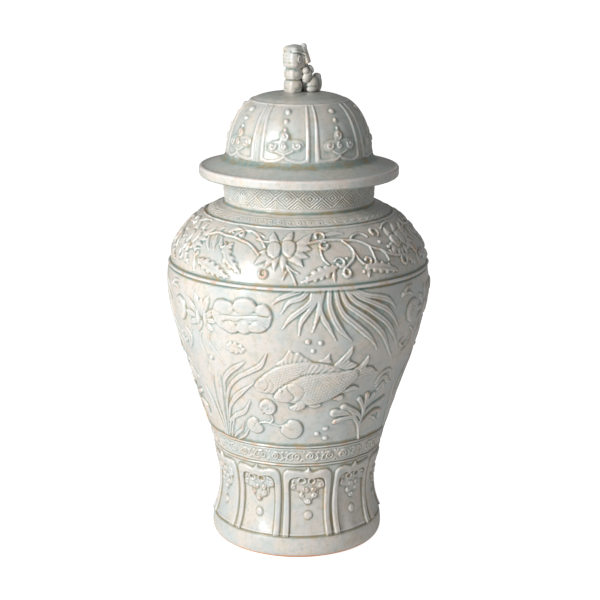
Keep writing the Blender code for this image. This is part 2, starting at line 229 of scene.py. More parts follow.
class Clay:
    """A sheet of clay: relief in mm over rows (mm up the wall) and columns (degrees round)."""

    def __init__(self, rows, radii, columns):
        self.rows = np.array(rows, float)
        self.radii = np.array(radii, float)
        self.columns = columns
        self.turn = 360 / columns
        self.relief = np.zeros((len(self.rows), columns))

    def patch(self, low_deg, high_deg, low_mm, high_mm):
        """Row and column numbers of a patch, with its own degrees and mm."""
        first, last = np.searchsorted(self.rows, [low_mm, high_mm])
        first_col, last_col = int(math.floor(low_deg / self.turn)), int(math.ceil(high_deg / self.turn))
        columns = np.arange(first_col, last_col + 1)
        return np.ix_(np.arange(first, last), columns % self.columns), columns * self.turn, self.rows[first:last]

    def scale_at(self, mm):
        """Millimetres of wall per degree at that height."""
        return math.radians(1) * float(np.interp(mm, self.rows, self.radii))

    def lay(self, where, value, how, share=None):
        old = self.relief[where]
        if how == "raise":
            new = np.maximum(old, value)
        elif how == "add":
            new = old + value
        else:
            new = old + (value - old) * share
        self.relief[where] = new

    def strand(self, path, half, height, section="round", how="raise", steps=None):
        """A stroke of clay along a path. half and height may change along it."""
        path = [tuple(p) for p in path]
        middle = sum(p[1] for p in path) / len(path)
        scale = self.scale_at(middle)
        length = sum(math.hypot((a[0] - b[0]) * scale, a[1] - b[1]) for a, b in zip(path, path[1:]))
        steps = steps or int(min(60, max(6, length / 2.2)))
        line = smooth_path(path, steps) if len(path) > 2 else np.linspace(path[0], path[1], steps)
        along = np.linspace(0, 1, steps)
        half = np.interp(along, np.linspace(0, 1, len(half)), half) if np.ndim(half) else np.full(steps, half)
        tall = np.interp(along, np.linspace(0, 1, len(height)), height) if np.ndim(height) else None
        pad = half.max() * 1.15 + 0.2
        where, degrees, mm = self.patch(line[:, 0].min() - pad / scale, line[:, 0].max() + pad / scale,
            line[:, 1].min() - pad, line[:, 1].max() + pad)
        if not len(mm):
            return
        x, y = np.meshgrid(degrees * scale, mm)
        best = np.full(x.shape, 9.0)
        side = np.zeros(x.shape)
        lift = np.zeros(x.shape)
        for k in range(steps - 1):
            ax, ay = line[k, 0] * scale, line[k, 1]
            dx, dy = line[k + 1, 0] * scale - ax, line[k + 1, 1] - ay
            t = np.clip(((x - ax) * dx + (y - ay) * dy) / (dx * dx + dy * dy + 1e-9), 0, 1)
            ex, ey = x - ax - t * dx, y - ay - t * dy
            away = np.hypot(ex, ey) / np.maximum(half[k] + (half[k + 1] - half[k]) * t, 0.05)
            nearer = away < best
            best = np.where(nearer, away, best)
            side = np.where(nearer, np.sign(dx * ey - dy * ex) * away, side)
            if tall is not None:
                lift = np.where(nearer, tall[k] + (tall[k + 1] - tall[k]) * t, lift)
        lift = lift if tall is not None else np.full(x.shape, float(height))
        body = np.sqrt(np.clip(1 - best ** 2, 0, 1))
        if section == "round":
            shape = body
        elif section == "leaf":
            shape = np.clip(1 - best ** 4, 0, 1) ** 0.5 * (1 - 0.52 * np.exp(-(side / 0.36) ** 2)) \
                * (0.86 + 0.14 * np.cos(side * 3))
        elif section == "petal":
            shape = 0.35 + 0.65 * np.clip(1 - best ** 3, 0, 1) ** 0.5 + 0.16 * np.exp(-(side / 0.2) ** 2)
        elif section == "flat":
            shape = np.clip((1 - best) / 0.35, 0, 1) ** 0.6
        else:
            shape = np.clip(1 - best ** 2, 0, 1)
        self.lay(where, np.where(best < 1, lift * shape, -9 if how == "raise" else 0), how,
            np.clip((1 - best) * half.max() / 0.8, 0, 1))

    def cut(self, path, half, depth):
        """A groove along a path."""
        self.strand(path, half, [-d for d in depth] if np.ndim(depth) else -depth, "soft", "add")

    def pad(self, outline, height, edge=2.2, swell=0.0, how="raise", base=0.0, trench=0.0):
        """A filled shape with rounded edges. Returns what later carving on it needs."""
        scale = self.scale_at(sum(p[1] for p in outline) / len(outline))
        line = smooth_path(outline, max(24, 5 * len(outline)), True)
        grow = 2.5
        where, degrees, mm = self.patch(line[:, 0].min() - grow / scale, line[:, 0].max() + grow / scale,
            line[:, 1].min() - grow, line[:, 1].max() + grow)
        x, y = np.meshgrid(degrees * scale, mm)
        away = np.full(x.shape, 99.0)
        odd = np.zeros(x.shape, bool)
        px, py = line[:, 0] * scale, line[:, 1]
        for k in range(len(line)):
            ax, ay, bx, by = px[k - 1], py[k - 1], px[k], py[k]
            dx, dy = bx - ax, by - ay
            t = np.clip(((x - ax) * dx + (y - ay) * dy) / (dx * dx + dy * dy + 1e-9), 0, 1)
            away = np.minimum(away, np.hypot(x - ax - t * dx, y - ay - t * dy))
            if abs(dy) > 1e-9:
                odd ^= ((ay > y) != (by > y)) & (x < dx * (y - ay) / dy + ax)
        deep = np.where(odd, away, -away)
        rise = np.sqrt(np.clip(1 - (1 - np.clip(deep / edge, 0, 1)) ** 2, 0, 1))
        value = base + height * rise + swell * (1 - np.exp(-np.clip(deep, 0, None) / 7.0))
        if trench:
            self.relief[where] -= trench * np.exp(-((deep + 0.4) / 1.1) ** 2) * (deep < 0)
        self.lay(where, value if how == "over" else np.where(deep > 0, value, -9), how, np.clip(deep / 0.8, 0, 1))
        return where, x, y, deep, scale

    def bead(self, degrees, mm, radius, height, how="raise", stretch=1.0):
        scale = self.scale_at(mm)
        where, degs, rows = self.patch(degrees - radius * stretch / scale - 1,
            degrees + radius * stretch / scale + 1, mm - radius - 1, mm + radius + 1)
        x, y = np.meshgrid((degs - degrees) * scale / stretch, rows - mm)
        dome = np.sqrt(np.clip(1 - (x * x + y * y) / radius ** 2, 0, 1))
        self.lay(where, np.where(dome > 0, height * dome, -9 if how == "raise" else 0), how, np.clip(2 * dome, 0, 1))

    def curl(self, degrees, mm, radius, start, turns, half, height, how="raise", section="round", end=0.2):
        """A scroll that winds inwards to that share of its radius. start is in degrees, turns may be negative."""
        scale = self.scale_at(mm)
        path = []
        for k in range(15):
            t = k / 14
            angle = math.radians(start + 360 * turns * t)
            r = radius * (1 - (1 - end) * t)
            path.append((degrees + r * math.cos(angle) / scale, mm + r * math.sin(angle)))
        self.strand(path, half, height, section, how, 26)

    def ring(self, mm, half, height, how="add", section="round"):
        """A line turned right round the sheet."""
        u = np.clip(1 - ((self.rows - mm) / half) ** 2, 0, 1)
        self.lay(slice(None), (height * (np.sqrt(u) if section == "round" else u))[:, None]
                 + np.zeros((1, self.columns)), how)

    def wander(self):
        """Shifts the carving a little this way and that, so that no two repeats are quite alike."""
        turn = np.radians(np.arange(self.columns) * self.turn)[None]
        up = self.rows[:, None]
        rng = np.random.default_rng(5)
        shift = [sum(np.cos(turn * rng.integers(3, 26) + up * rng.uniform(-0.09, 0.09) + rng.uniform(0, 6.28))
                     for _ in range(10)) * WANDER / 10 ** 0.5 for _ in range(2)]
        row = np.interp(up + shift[0], self.rows, np.arange(len(self.rows)))
        column = np.arange(self.columns)[None] + shift[1] / (self.radii[:, None] * math.radians(self.turn))
        r0, c0 = np.minimum(row.astype(int), len(self.rows) - 2), np.floor(column).astype(int)
        fr, fc = row - r0, column - c0
        a, b = c0 % self.columns, (c0 + 1) % self.columns
        g = self.relief
        self.relief = ((1 - fr) * ((1 - fc) * g[r0, a] + fc * g[r0, b])
                       + fr * ((1 - fc) * g[r0 + 1, a] + fc * g[r0 + 1, b]))


def blurred(grid, sigma_rows, sigma_columns):
    """A Gaussian blur, open at top and bottom and joined up round the jar."""
    out = grid
    for axis, sigma in ((0, sigma_rows), (1, sigma_columns)):
        reach = max(1, int(3 * sigma))
        weights = np.exp(-0.5 * (np.arange(-reach, reach + 1) / sigma) ** 2)
        weights /= weights.sum()
        pads = [(reach, reach), (0, 0)] if axis == 0 else [(0, 0), (reach, reach)]
        wide = np.pad(out, pads, mode="edge" if axis == 0 else "wrap")
        size = out.shape[axis]
        out = sum(w * (wide[k:k + size] if axis == 0 else wide[:, k:k + size]) for k, w in enumerate(weights))
    return out


# ---------------------------------------------------------------- turned shape of the jar, in mm

LOWER = ((29.0, 104.6, -0.45), (74.0, 95.5, 0.0), (119.0, 103.8, 0.24), (147.0, 111.0, 0.28),
         (234.0, 139.0, 0.34), (330.0, 158.9, 0.0))
UPPER = ((330.0, 158.9, 0.0), (368.0, 152.8, -0.37), (396.3, 133.7, -1.0), (411.0, 116.0, -1.7),
         (420.0, 98.5, -2.2))
NECK_RADIUS = 90.2
RIM = 456.7
WALL = 7.0
SEAT = RIM + 0.3


def wall_radius(height):
    stations = LOWER if height <= 330 else UPPER
    pairs = list(zip(stations, stations[1:]))
    low, high = next((pair for pair in pairs if height <= pair[1][0]), pairs[-1])
    span = high[0] - low[0]
    t = (height - low[0]) / span
    return (low[1] * (1 + 2 * t) * (1 - t) ** 2 + high[1] * t * t * (3 - 2 * t)
            + span * (low[2] * t * (1 - t) ** 2 - high[2] * t * t * (1 - t)))


def measured(line):
    """The line's points with the length of line up to each."""
    line = np.array(line, float)
    return line, np.concatenate([[0], np.cumsum(np.hypot(*np.diff(line, axis=0).T))])


def outer_wall():
    """(radius, height) up the outside of the jar, foot line to rim, and mm up the wall."""
    line = [(wall_radius(z), z) for z in np.linspace(29, 420, 1200)]
    line += [(NECK_RADIUS + 8.3 * (1 - math.sin(a)), 425.2 - 5.2 * math.cos(a) ** 1.0)
             for a in np.linspace(0.05, math.pi / 2, 30)]
    line += [(NECK_RADIUS, z) for z in np.linspace(425.6, RIM - 2, 60)]
    points, up = measured(line)
    return points, up + 32.8


WALL_LINE, WALL_UP = outer_wall()


def wall_at(mm):
    """(radius, height) and outward normal of the outer wall, that far up it."""
    radius = np.interp(mm, WALL_UP, WALL_LINE[:, 0])
    height = np.interp(mm, WALL_UP, WALL_LINE[:, 1])
    a, b = np.asarray(mm) - 1.0, np.asarray(mm) + 1.0
    dr = np.interp(b, WALL_UP, WALL_LINE[:, 0]) - np.interp(a, WALL_UP, WALL_LINE[:, 0])
    dz = np.interp(b, WALL_UP, WALL_LINE[:, 1]) - np.interp(a, WALL_UP, WALL_LINE[:, 1])
    size = np.hypot(dr, dz)
    return radius, height, dz / size, -dr / size


# ---------------------------------------------------------------- carving: lappets and scrolls


def carve_lappets(clay):
    """Ten upright lappets round the foot, each with a hanging cloud scroll and a button."""
    for k in range(10):
        c = 7.6 + 36 * k

        def at(points):
            return [(c + degrees, mm) for degrees, mm in points]

        side = [(17.1, mm) for mm in (6, 20, 36, 52, 70, 90, 104)]
        side += [(16.9, 112), (15.6, 117.6), (12.6, 119.8), (8, 119.2), (4.6, 117.9), (2.4, 118.3), (0.9, 121)]
        clay.pad(at(side + [(0, 123.2)] + [(-a, b) for a, b in side[::-1]]), 2.7, 2.3, 0.3)
        side = [(13.1, mm) for mm in (-8, 8, 24, 42, 60)]
        side += [(13.2, 90), (13.1, 100.5), (12.2, 106.2), (9.8, 109.2), (5, 109.9), (0, 109.2)]
        clay.pad(at(side + [(-a, b) for a, b in side[-2::-1]]), -3.1, 1.9, how="over", base=2.95)
        clay.pad(at([(7.4, 109), (9.6, 105.6), (12, 101), (12.6, 96), (9.6, 93.2), (8.3, 92), (8.4, 88), (7.6, 83),
                     (4.6, 80.4), (3.4, 79), (2.6, 75.6), (0.4, 74.2), (-2, 75.5), (-2.8, 79), (-4.8, 81), (-5.8, 85),
                     (-4.8, 89.4), (-7.6, 90.6), (-10.2, 92), (-11.2, 96), (-10.8, 101), (-11.2, 105), (-9.2, 108.2),
                     (-4.6, 109), (0, 107.6), (4, 109.2)]), 1.1, 1.6, 0.2)
        for degrees, mm, radius, depth in ((-4.2, 104.4, 2.2, -1.2), (2.8, 104.9, 2.6, -1.4)):
            clay.curl(c + degrees, mm, radius + 1.9, -30, 0.93, 1.15, 2.9, end=0.92)
            clay.bead(c + degrees, mm, radius, depth, "add", 1.15)
        for degrees, mm, radius, start, turns in (
                (-1, 93.2, 3.8, 150, 1.4), (4.2, 93.4, 3.8, 30, -1.4), (4.6, 85.2, 4.4, 100, -1.5),
                (0.5, 77.6, 3.5, 200, 1.3), (-3.4, 84.4, 3, 100, 1.2), (-9.2, 96.2, 3.7, 60, 1.2),
                (10.3, 97.6, 4, 120, -1.2)):
            clay.bead(c + degrees, mm, radius + 0.6, 1.9)
            clay.curl(c + degrees, mm, radius * 0.86, start, turns * 0.85, [0.9, 1.25, 1.25, 1.2], 3.4, end=0.12)
        clay.strand(at([(8, 106.4), (10.8, 103.2), (11.8, 99.4)]), 1.5, 2.4)
        clay.strand(at([(-9, 105.6), (-10, 102), (-10.2, 98.4)]), 1.4, 2.2)
        clay.bead(c + 0.6, 59.5, 5, 2.3)
        clay.pad(at([(0.6 + 2.6 * math.cos(a), 59.5 + 4.5 * math.sin(a)) for a in np.linspace(0, math.tau, 12)[:-1]]),
                 2, 1.3)


def carve_scroll_band(clay):
    """A running scroll of paired curls between double lines."""
    for k in range(16):
        c = 3.8 + 22.5 * k
        for hand in (-1, 1):
            centre = c + 4.1 * hand
            clay.curl(centre, 139, 5.2, 80 if hand > 0 else 100, -1.45 * hand, [0.9, 0.95, 0.7], 1.5)
            clay.strand([(centre, 144.2), (c + 7.2 * hand, 143.8), (c + 9.4 * hand, 140), (c + 9.8 * hand, 135.6),
                         (c + 8 * hand, 133), (c + 6.6 * hand, 134.8)], [0.7, 1, 1, 0.6], 1.4)
            clay.curl(c + 9.9 * hand, 144, 1.7, 200, 0.9, 0.75, 1.2)
        clay.strand([(c - 10, 133.4), (c - 11.25, 137.2), (c - 12.5, 133.4)], 0.8, 1.2)
        clay.strand([(c - 1.4, 132.4), (c, 135.6), (c + 1.4, 132.4)], 0.8, 1.2)
        clay.strand([(c - 1.2, 146.2), (c, 143.2), (c + 1.2, 146.2)], 0.7, 1.1)


# ---------------------------------------------------------------- carving: the lotus pond

REEDS = (
    (((-49, 156), (-49.6, 175), (-50.6, 200), (-49.2, 225), (-46.6, 244)), (1.3, 1.7, 2.2, 0.5)),
    (((-50.5, 156), (-52.8, 178), (-55, 200), (-57.5, 222)), (1.2, 2, 2.4, 0.5)),
    (((-48.2, 156), (-46.8, 185), (-45.2, 205), (-43.6, 222), (-41.3, 245)), (1.4, 1.9, 2.3, 0.5)),
    (((-46.6, 156), (-44.6, 178), (-41.6, 205), (-37.4, 227), (-30.6, 245), (-22.4, 259), (-17, 268),
      (-13.6, 284.5)), (1.2, 1.4, 1.7, 2.1, 2.7, 3.5, 0.5)),
    (((-40.6, 222), (-38.8, 238), (-34, 252), (-29, 262), (-24.8, 270.5)), (0.9, 3, 3.2, 0.5)),
    (((-43.4, 178), (-40.4, 198), (-35.2, 214), (-29, 227), (-21.8, 241.5)), (1, 2.4, 3.7, 0.5)),
    (((-44.8, 160), (-42.4, 177), (-36.4, 189), (-29.4, 199), (-25.2, 214)), (1, 2.3, 3.3, 0.5)),
    (((-41.6, 156), (-38.4, 163), (-34, 171), (-31.4, 184)), (1, 2.1, 0.4)),
    (((-38.4, 155), (-34.6, 160), (-31.8, 165), (-29.8, 171.5)), (0.9, 1.8, 0.4)),
    (((-44, 156), (-42, 168), (-38.8, 183), (-37, 192)), (1, 1.4, 0.6)),
)
WEED = (
    (((1, 364), (-3.5, 357.5), (-7.6, 352.5), (-10.4, 346)), (1.9, 2.5, 0.5)),
    (((4.2, 364), (1.2, 354), (-3.4, 348.4), (-6.6, 335)), (2, 2.8, 0.5)),
    (((6, 364), (5.2, 350), (0.6, 338), (-3.2, 329), (-6.5, 316.5)), (1.7, 2.5, 2.7, 0.5)),
    (((7.2, 364), (7, 350), (4.2, 338), (1.2, 325), (0.5, 309)), (1.5, 2.1, 2.7, 0.5)),
    (((8.6, 364), (8.6, 345), (7.6, 330), (6, 312.5)), (1.5, 2.1, 1.9, 0.5)),
    (((10.6, 364), (9, 345), (10, 332), (13, 318), (16.6, 301)), (1.7, 2.1, 2.9, 0.5)),
    (((13.2, 364), (12.9, 345), (14.8, 330), (18.8, 313), (24, 299.5)), (1.9, 3.1, 3.7, 0.5)),
    (((15.6, 364), (17, 345), (20.2, 331), (25.4, 318), (31.8, 303), (38, 282.5)), (1.8, 2.7, 3.3, 3.3, 0.5)),
    (((18, 364), (20.6, 346), (26.6, 332), (34, 317), (41.4, 296), (50.2, 261.5)), (1.8, 2.7, 3.3, 3.3, 0.5)),
    (((20, 364), (24.6, 347), (32, 334), (40.4, 317.5), (46.2, 301), (50.8, 283.5)), (1.7, 2.6, 3.1, 2.9, 0.5)),
    (((21.8, 364), (27.4, 350.5), (35.2, 340.5), (42.4, 328.5), (49.8, 304.5)), (1.7, 2.6, 3, 0.5)),
    (((23.6, 364), (29.6, 353.4), (36.6, 348.4), (41.8, 342.4), (46.2, 331)), (1.7, 2.6, 2.9, 0.5)),
)


def carve_scales(clay, where, x, y, deep, scale, origin, slope, pitch, keep):
    """Rows of overlapping scales over the part of a fish that keep allows."""
    across, along = pitch * 0.86, pitch
    u = (x - origin[0] * scale) * math.cos(slope) + (y - origin[1]) * math.sin(slope)
    v = -(x - origin[0] * scale) * math.sin(slope) + (y - origin[1]) * math.cos(slope)
    row = np.floor(v / across)
    cell_u = ((u + (row % 2) * along / 2) / along) % 1 - 0.5
    cell_v = (v / across) % 1 - 0.5
    scale_shape = np.clip(1 - (cell_u * 1.9) ** 2 - (cell_v * 1.9) ** 2, 0, 1) ** 0.5 + 0.35 * cell_u
    clay.relief[where] += np.where((deep > 1.2) & keep(u, v), 0.85 * scale_shape - 0.45, 0)


def carve_rays(clay, carved, origin, count, depth):
    """Fine rays that fan from one point across a fin or a leaf."""
    where, x, y, deep, scale = carved
    angle = np.arctan2(y - origin[1], x - origin[0] * scale)
    clay.relief[where] += np.where(deep > 0.3, depth * np.cos(angle * count), 0)


def carve_fish(clay, c):
    """Two carp that swim to the left, the near one half over the far one."""
    def at(points):
        return [(c + degrees, mm) for degrees, mm in points]

    # far fish
    fin = clay.pad(at([(-9.6, 270), (-6.6, 279), (-3.6, 291), (-1.8, 286.5), (0.6, 287.5), (2.6, 282), (5.8, 276),
                       (8, 270), (0, 266)]), 1.5, 1.2, how="over")
    carve_rays(clay, fin, (c - 6, 240), 46, 0.28)
    clay.pad(at([(9.4, 275), (12, 279), (14.2, 284.5), (14.6, 278), (15.4, 272)]), 1.5, 1)
    tail = clay.pad(at([(16.5, 267), (18.8, 275), (21.8, 284), (24.9, 293), (25.4, 285), (24.2, 275), (26.8, 270.5),
                        (28.4, 266), (24, 259), (19, 260)]), 1.9, 1.3, how="over", trench=0.5)
    carve_rays(clay, tail, (c + 16, 255), 34, 0.32)
    body = clay.pad(at([(-22, 237), (-20.6, 245), (-17.6, 252), (-13.6, 260), (-9, 268), (-3, 273), (4, 274.5),
                        (10, 273), (15.5, 269.5), (20, 264), (22, 258), (8, 248), (-4, 236), (-10, 229.5),
                        (-15, 229), (-19.8, 231.5)]), 1.9, 2.6, 1, how="over", trench=0.6)
    carve_scales(clay, *body, (c - 16, 243), 0.28, 3.5, lambda u, v: (u > 12) | (v > 14))
    clay.pad(at([(-21.6, 236), (-20.2, 245), (-16.6, 252), (-13, 250), (-11.4, 243), (-12.6, 234), (-15.4, 229.4),
                        (-19.6, 231)]), 0.9, 1.6, 0.5, how="over", base=2, trench=0.35)
    clay.cut(at([(-14.8, 250), (-13.6, 244), (-14.6, 237), (-16.4, 233)]), 0.9, 1)
    clay.cut(at([(-21.4, 235.4), (-19.6, 235.8), (-18.4, 234.6)]), 0.7, 0.9)
    clay.bead(c - 17.8, 243.4, 3.1, 3.5)
    clay.curl(c - 17.8, 243.4, 2.5, 0, 1, 0.6, -0.9, "add", "soft")
    clay.bead(c - 17.8, 243.4, 1.3, 0.7, "add")

    # near fish
    fin = clay.pad(at([(1.4, 257), (4.4, 265), (7.4, 272.8), (10.6, 270), (14, 266.6), (17.4, 263.6), (21, 261),
        (14, 255), (6, 253)]), 2.4, 1.2, how="over", trench=0.5)
    carve_rays(clay, fin, (c + 1, 238), 44, 0.30)
    tail = clay.pad(at([(26.4, 261), (29.6, 265), (32, 270.4), (33.8, 276.4), (34.6, 271), (34.4, 265.4), (33.8, 261),
                        (37, 260.5), (39.6, 256), (41.8, 250.5), (38.4, 249.4), (34, 248.6), (29.6, 245.5),
                        (26.6, 250)]), 2.3, 1.4, how="over", trench=0.6)
    carve_rays(clay, tail, (c + 24, 250), 30, 0.36)
    for outline in ([(21.6, 228.6), (24.6, 235.4), (28.2, 237.6), (31.2, 234.6), (31.9, 230.6), (27, 229.4)],
                    [(18.4, 220.6), (20.6, 225.4), (23.4, 226.8), (24.4, 222), (22.6, 217.6), (20, 219)],
                    [(5.2, 213.6), (8.8, 216.4), (12.2, 216), (12.2, 211.4), (9.4, 208.8), (6.4, 210.8)]):
        lobe = clay.pad(at(outline), 2.3, 1.8, 0.3, how="over", trench=0.4)
        carve_rays(clay, lobe, (c + outline[0][0] - 4, outline[0][1]), 26, 0.18)
    body = clay.pad(at([(-12, 223), (-11, 230), (-8, 238), (-4, 246.6), (0.4, 253), (5.4, 258), (12, 260),
        (20, 259.6), (25, 261.4), (28.6, 259.6), (29.6, 254), (29.4, 248), (26.4, 240), (22.6, 230),
        (17.4, 221.4), (11, 215.6), (4, 213.6), (-2.4, 216.4), (-6.6, 218.4), (-10.6, 219.6)]), 2.9, 3.4, 1.4,
        how="over", trench=0.9)
    carve_scales(clay, *body, (c - 8, 230), 0.30, 3.9, lambda u, v: u > 26)
    pectoral = clay.pad(at([(2.6, 222), (4.2, 215), (3.4, 210), (0.6, 207), (-2.6, 206.4), (-4.2, 210.6),
        (-1.8, 214.6), (0.2, 219.6)]), 1.2, 1.6, 0.4, how="over", base=2.3, trench=0.6)
    carve_rays(clay, pectoral, (c + 3, 226), 30, 0.30)
    clay.pad(at([(-12, 222.6), (-10.6, 231), (-7.6, 239), (-3.6, 245.6), (-1, 240), (-2.4, 229), (-3.4, 220),
                         (-7, 218)]), 1.3, 2.4, 0.9, how="over", base=2.5)
    clay.pad(at([(-4.2, 242.6), (-1.4, 245.4), (1.4, 242.4), (2.8, 236), (2.4, 229), (0.4, 223), (-1.6, 221.4),
                        (-1.2, 228), (-3.4, 233)]), 0.9, 2, 0.3, how="over", base=3.4, trench=0.45)
    clay.cut(at([(-4.8, 243), (-4.6, 237.5), (-2.4, 231.5), (-1.8, 226), (-3, 220.6)]), 1, 0.8)
    clay.cut(at([(-12, 222.4), (-9.8, 223), (-8.4, 221.2)]), 0.8, 1.2)
    clay.bead(c - 7.9, 234.6, 3.6, 5.4)
    clay.curl(c - 7.9, 234.6, 2.9, 0, 1, 0.65, -1.1, "add", "soft")
    clay.bead(c - 7.9, 234.6, 1.4, 0.8, "add")


def carve_pads(clay, c):
    """Floating leaves, a curled leaf and their stems, and drops of water."""
    def at(points):
        return [(c + degrees, mm) for degrees, mm in points]

    for path in ([(-21.6, 184.6), (-17.6, 186.4), (-13.4, 184.4), (-9.8, 181.8), (-6.4, 185.6)],
                 [(-14.6, 198.4), (-13.4, 191.6), (-15, 186.4)], [(-18.2, 203), (-19, 198.6)]):
        clay.strand(at(path), 1.2, 1.7)
    clay.pad(at([(-30.2, 180), (-28.6, 187), (-25.8, 191.6), (-23.2, 190.6), (-22.2, 187), (-21.8, 184.2),
        (-19.9, 180), (-19.6, 175), (-22, 170.4), (-26, 169), (-29.4, 173)]), 2.3, 2.6, 0.5, trench=0.5)
    clay.cut(at([(-22.4, 187), (-24.4, 182), (-25.4, 178)]), 1, 0.7)
    clay.pad(at([(-9, 182), (-6.4, 186), (-5.2, 190.4), (-2, 192.4), (1.6, 189.6), (3.6, 182), (3.2, 174), (0.2, 167),
                 (-4, 165), (-7.8, 169), (-9.8, 175)]), 2.3, 2.6, 0.7, trench=0.5)
    clay.cut(at([(-7.6, 183), (-4.6, 180), (-1.6, 178.6)]), 1, 0.7)
    clay.pad(at([(-20.4, 207), (-19.6, 214), (-17, 219.4), (-13.6, 218), (-11.4, 212), (-11.6, 205), (-13.6, 199.4),
                 (-16.4, 198.4), (-18.2, 201.6), (-18.8, 204)]), 2.6, 2.4, 0.4, trench=0.5)
    clay.bead(c - 16, 207.4, 6.2, -1.5, "add")
    clay.curl(c - 16, 206.6, 4.6, 60, -0.8, 1, 1, "add")
    for degrees, mm, radius, stretch in ((4.3, 301, 3.3, 1), (9.9, 298.4, 3.1, 1), (6.8, 288.4, 2.6, 1),
            (16.6, 179, 3, 1.3), (11.6, 171, 3.1, 1.1), (17, 165, 3, 1.25), (-44, 267, 3.2, 1)):
        clay.bead(c + degrees, mm, radius, 2.6, stretch=stretch)
        clay.bead(c + degrees - 0.3, mm + 0.4, radius * 0.45, -0.3, "add")


def carve_coral(clay, c):
    """A branching water weed with round lobes, and curled leaves above it."""
    def at(points):
        return [(c + degrees, mm) for degrees, mm in points]

    for path, half in (
            ([(40.8, 155), (40, 164), (38.9, 174), (38.8, 183), (39.2, 192), (39.3, 202), (39.4, 211), (39.5, 218.4)],
             [1.4, 1.5, 1.8, 2.4, 3, 2.9, 3, 3.9]),
            ([(39, 197), (36.9, 206), (34.2, 214.6)], [2.2, 2.6, 3.8]),
            ([(39.4, 207), (42, 212.4), (44.3, 217)], [2, 2.4, 3.4]),
            ([(38.9, 185), (35.2, 194.6), (29.9, 202), (25.8, 206.8)], [2.2, 2.7, 3.2, 5]),
            ([(35.2, 193), (30.4, 196.4), (25.6, 198.4), (20.6, 201)], [2.2, 3.4, 4.8, 6]),
            ([(38.9, 173), (36.7, 182), (32.7, 190.6), (27, 189.4), (22, 187.2)], [1.8, 2.4, 2.8, 3.2, 3.8]),
            ([(39.4, 190), (44.4, 197.4), (50.2, 203.6), (54, 207.6)], [1.8, 2.6, 3.2, 2.8]),
            ([(39.4, 176), (45, 185.6), (50.2, 191.6), (54.6, 187.4), (55, 180.6)], [1.6, 2.4, 3, 2.8, 2.2])):
        clay.strand(at(path), half, 2.8, "flat")
        clay.cut(at(path), [h * 0.25 + 0.4 for h in half[:-1]] + [0.3], 0.55)
    clay.cut(at([(31.4, 193.4), (27.4, 202), (22.6, 206.6)]), [0.9, 0.8, 0.6], 1.2)
    for path, half in (
            ([(46, 184), (50.6, 181), (55.4, 172.4)], [1.2, 2.2, 0.5]),
            ([(43.4, 233), (44.4, 241), (47.6, 246.6), (51.6, 246.4), (54.2, 238.6)], [1.6, 2.8, 2.4, 0.5]),
            ([(44.4, 228), (45.8, 236), (49.4, 237.6), (53, 230.4), (57.4, 227.4)], [1.8, 3.2, 3.4, 0.5]),
            ([(46.2, 222), (48.8, 229.6), (51.2, 222.6)], [1.6, 3.2, 1.2])):
        clay.strand(at(path), half, 2.4, "leaf")
    clay.pad(at([(53.8, 322), (54.8, 331), (58.2, 336), (62, 333), (63.4, 324), (62.4, 314), (59.2, 307),
        (55.6, 311)]), 2.4, 2.8, 0.6, trench=0.4)
    clay.curl(c + 58.6, 321, 7.4, 120, -1.3, 0.9, -0.7, "add", "soft")
    for path, half in (([(60, 300), (63.6, 290), (62.4, 278), (57.6, 268)], [1, 1.2, 1]),
                       ([(50, 344), (53, 351), (57.6, 352.4)], [2, 2.6, 0.6]),
                       ([(50.4, 345), (54.4, 345.4), (58.4, 341)], [2, 1.8, 0.5]),
                       ([(55, 288), (53.6, 281), (56.4, 276), (58.6, 281)], [1.4, 1.9, 1.4])):
        clay.strand(at(path), half, 2)
    clay.bead(c + 50.2, 346, 2.6, 2.7)


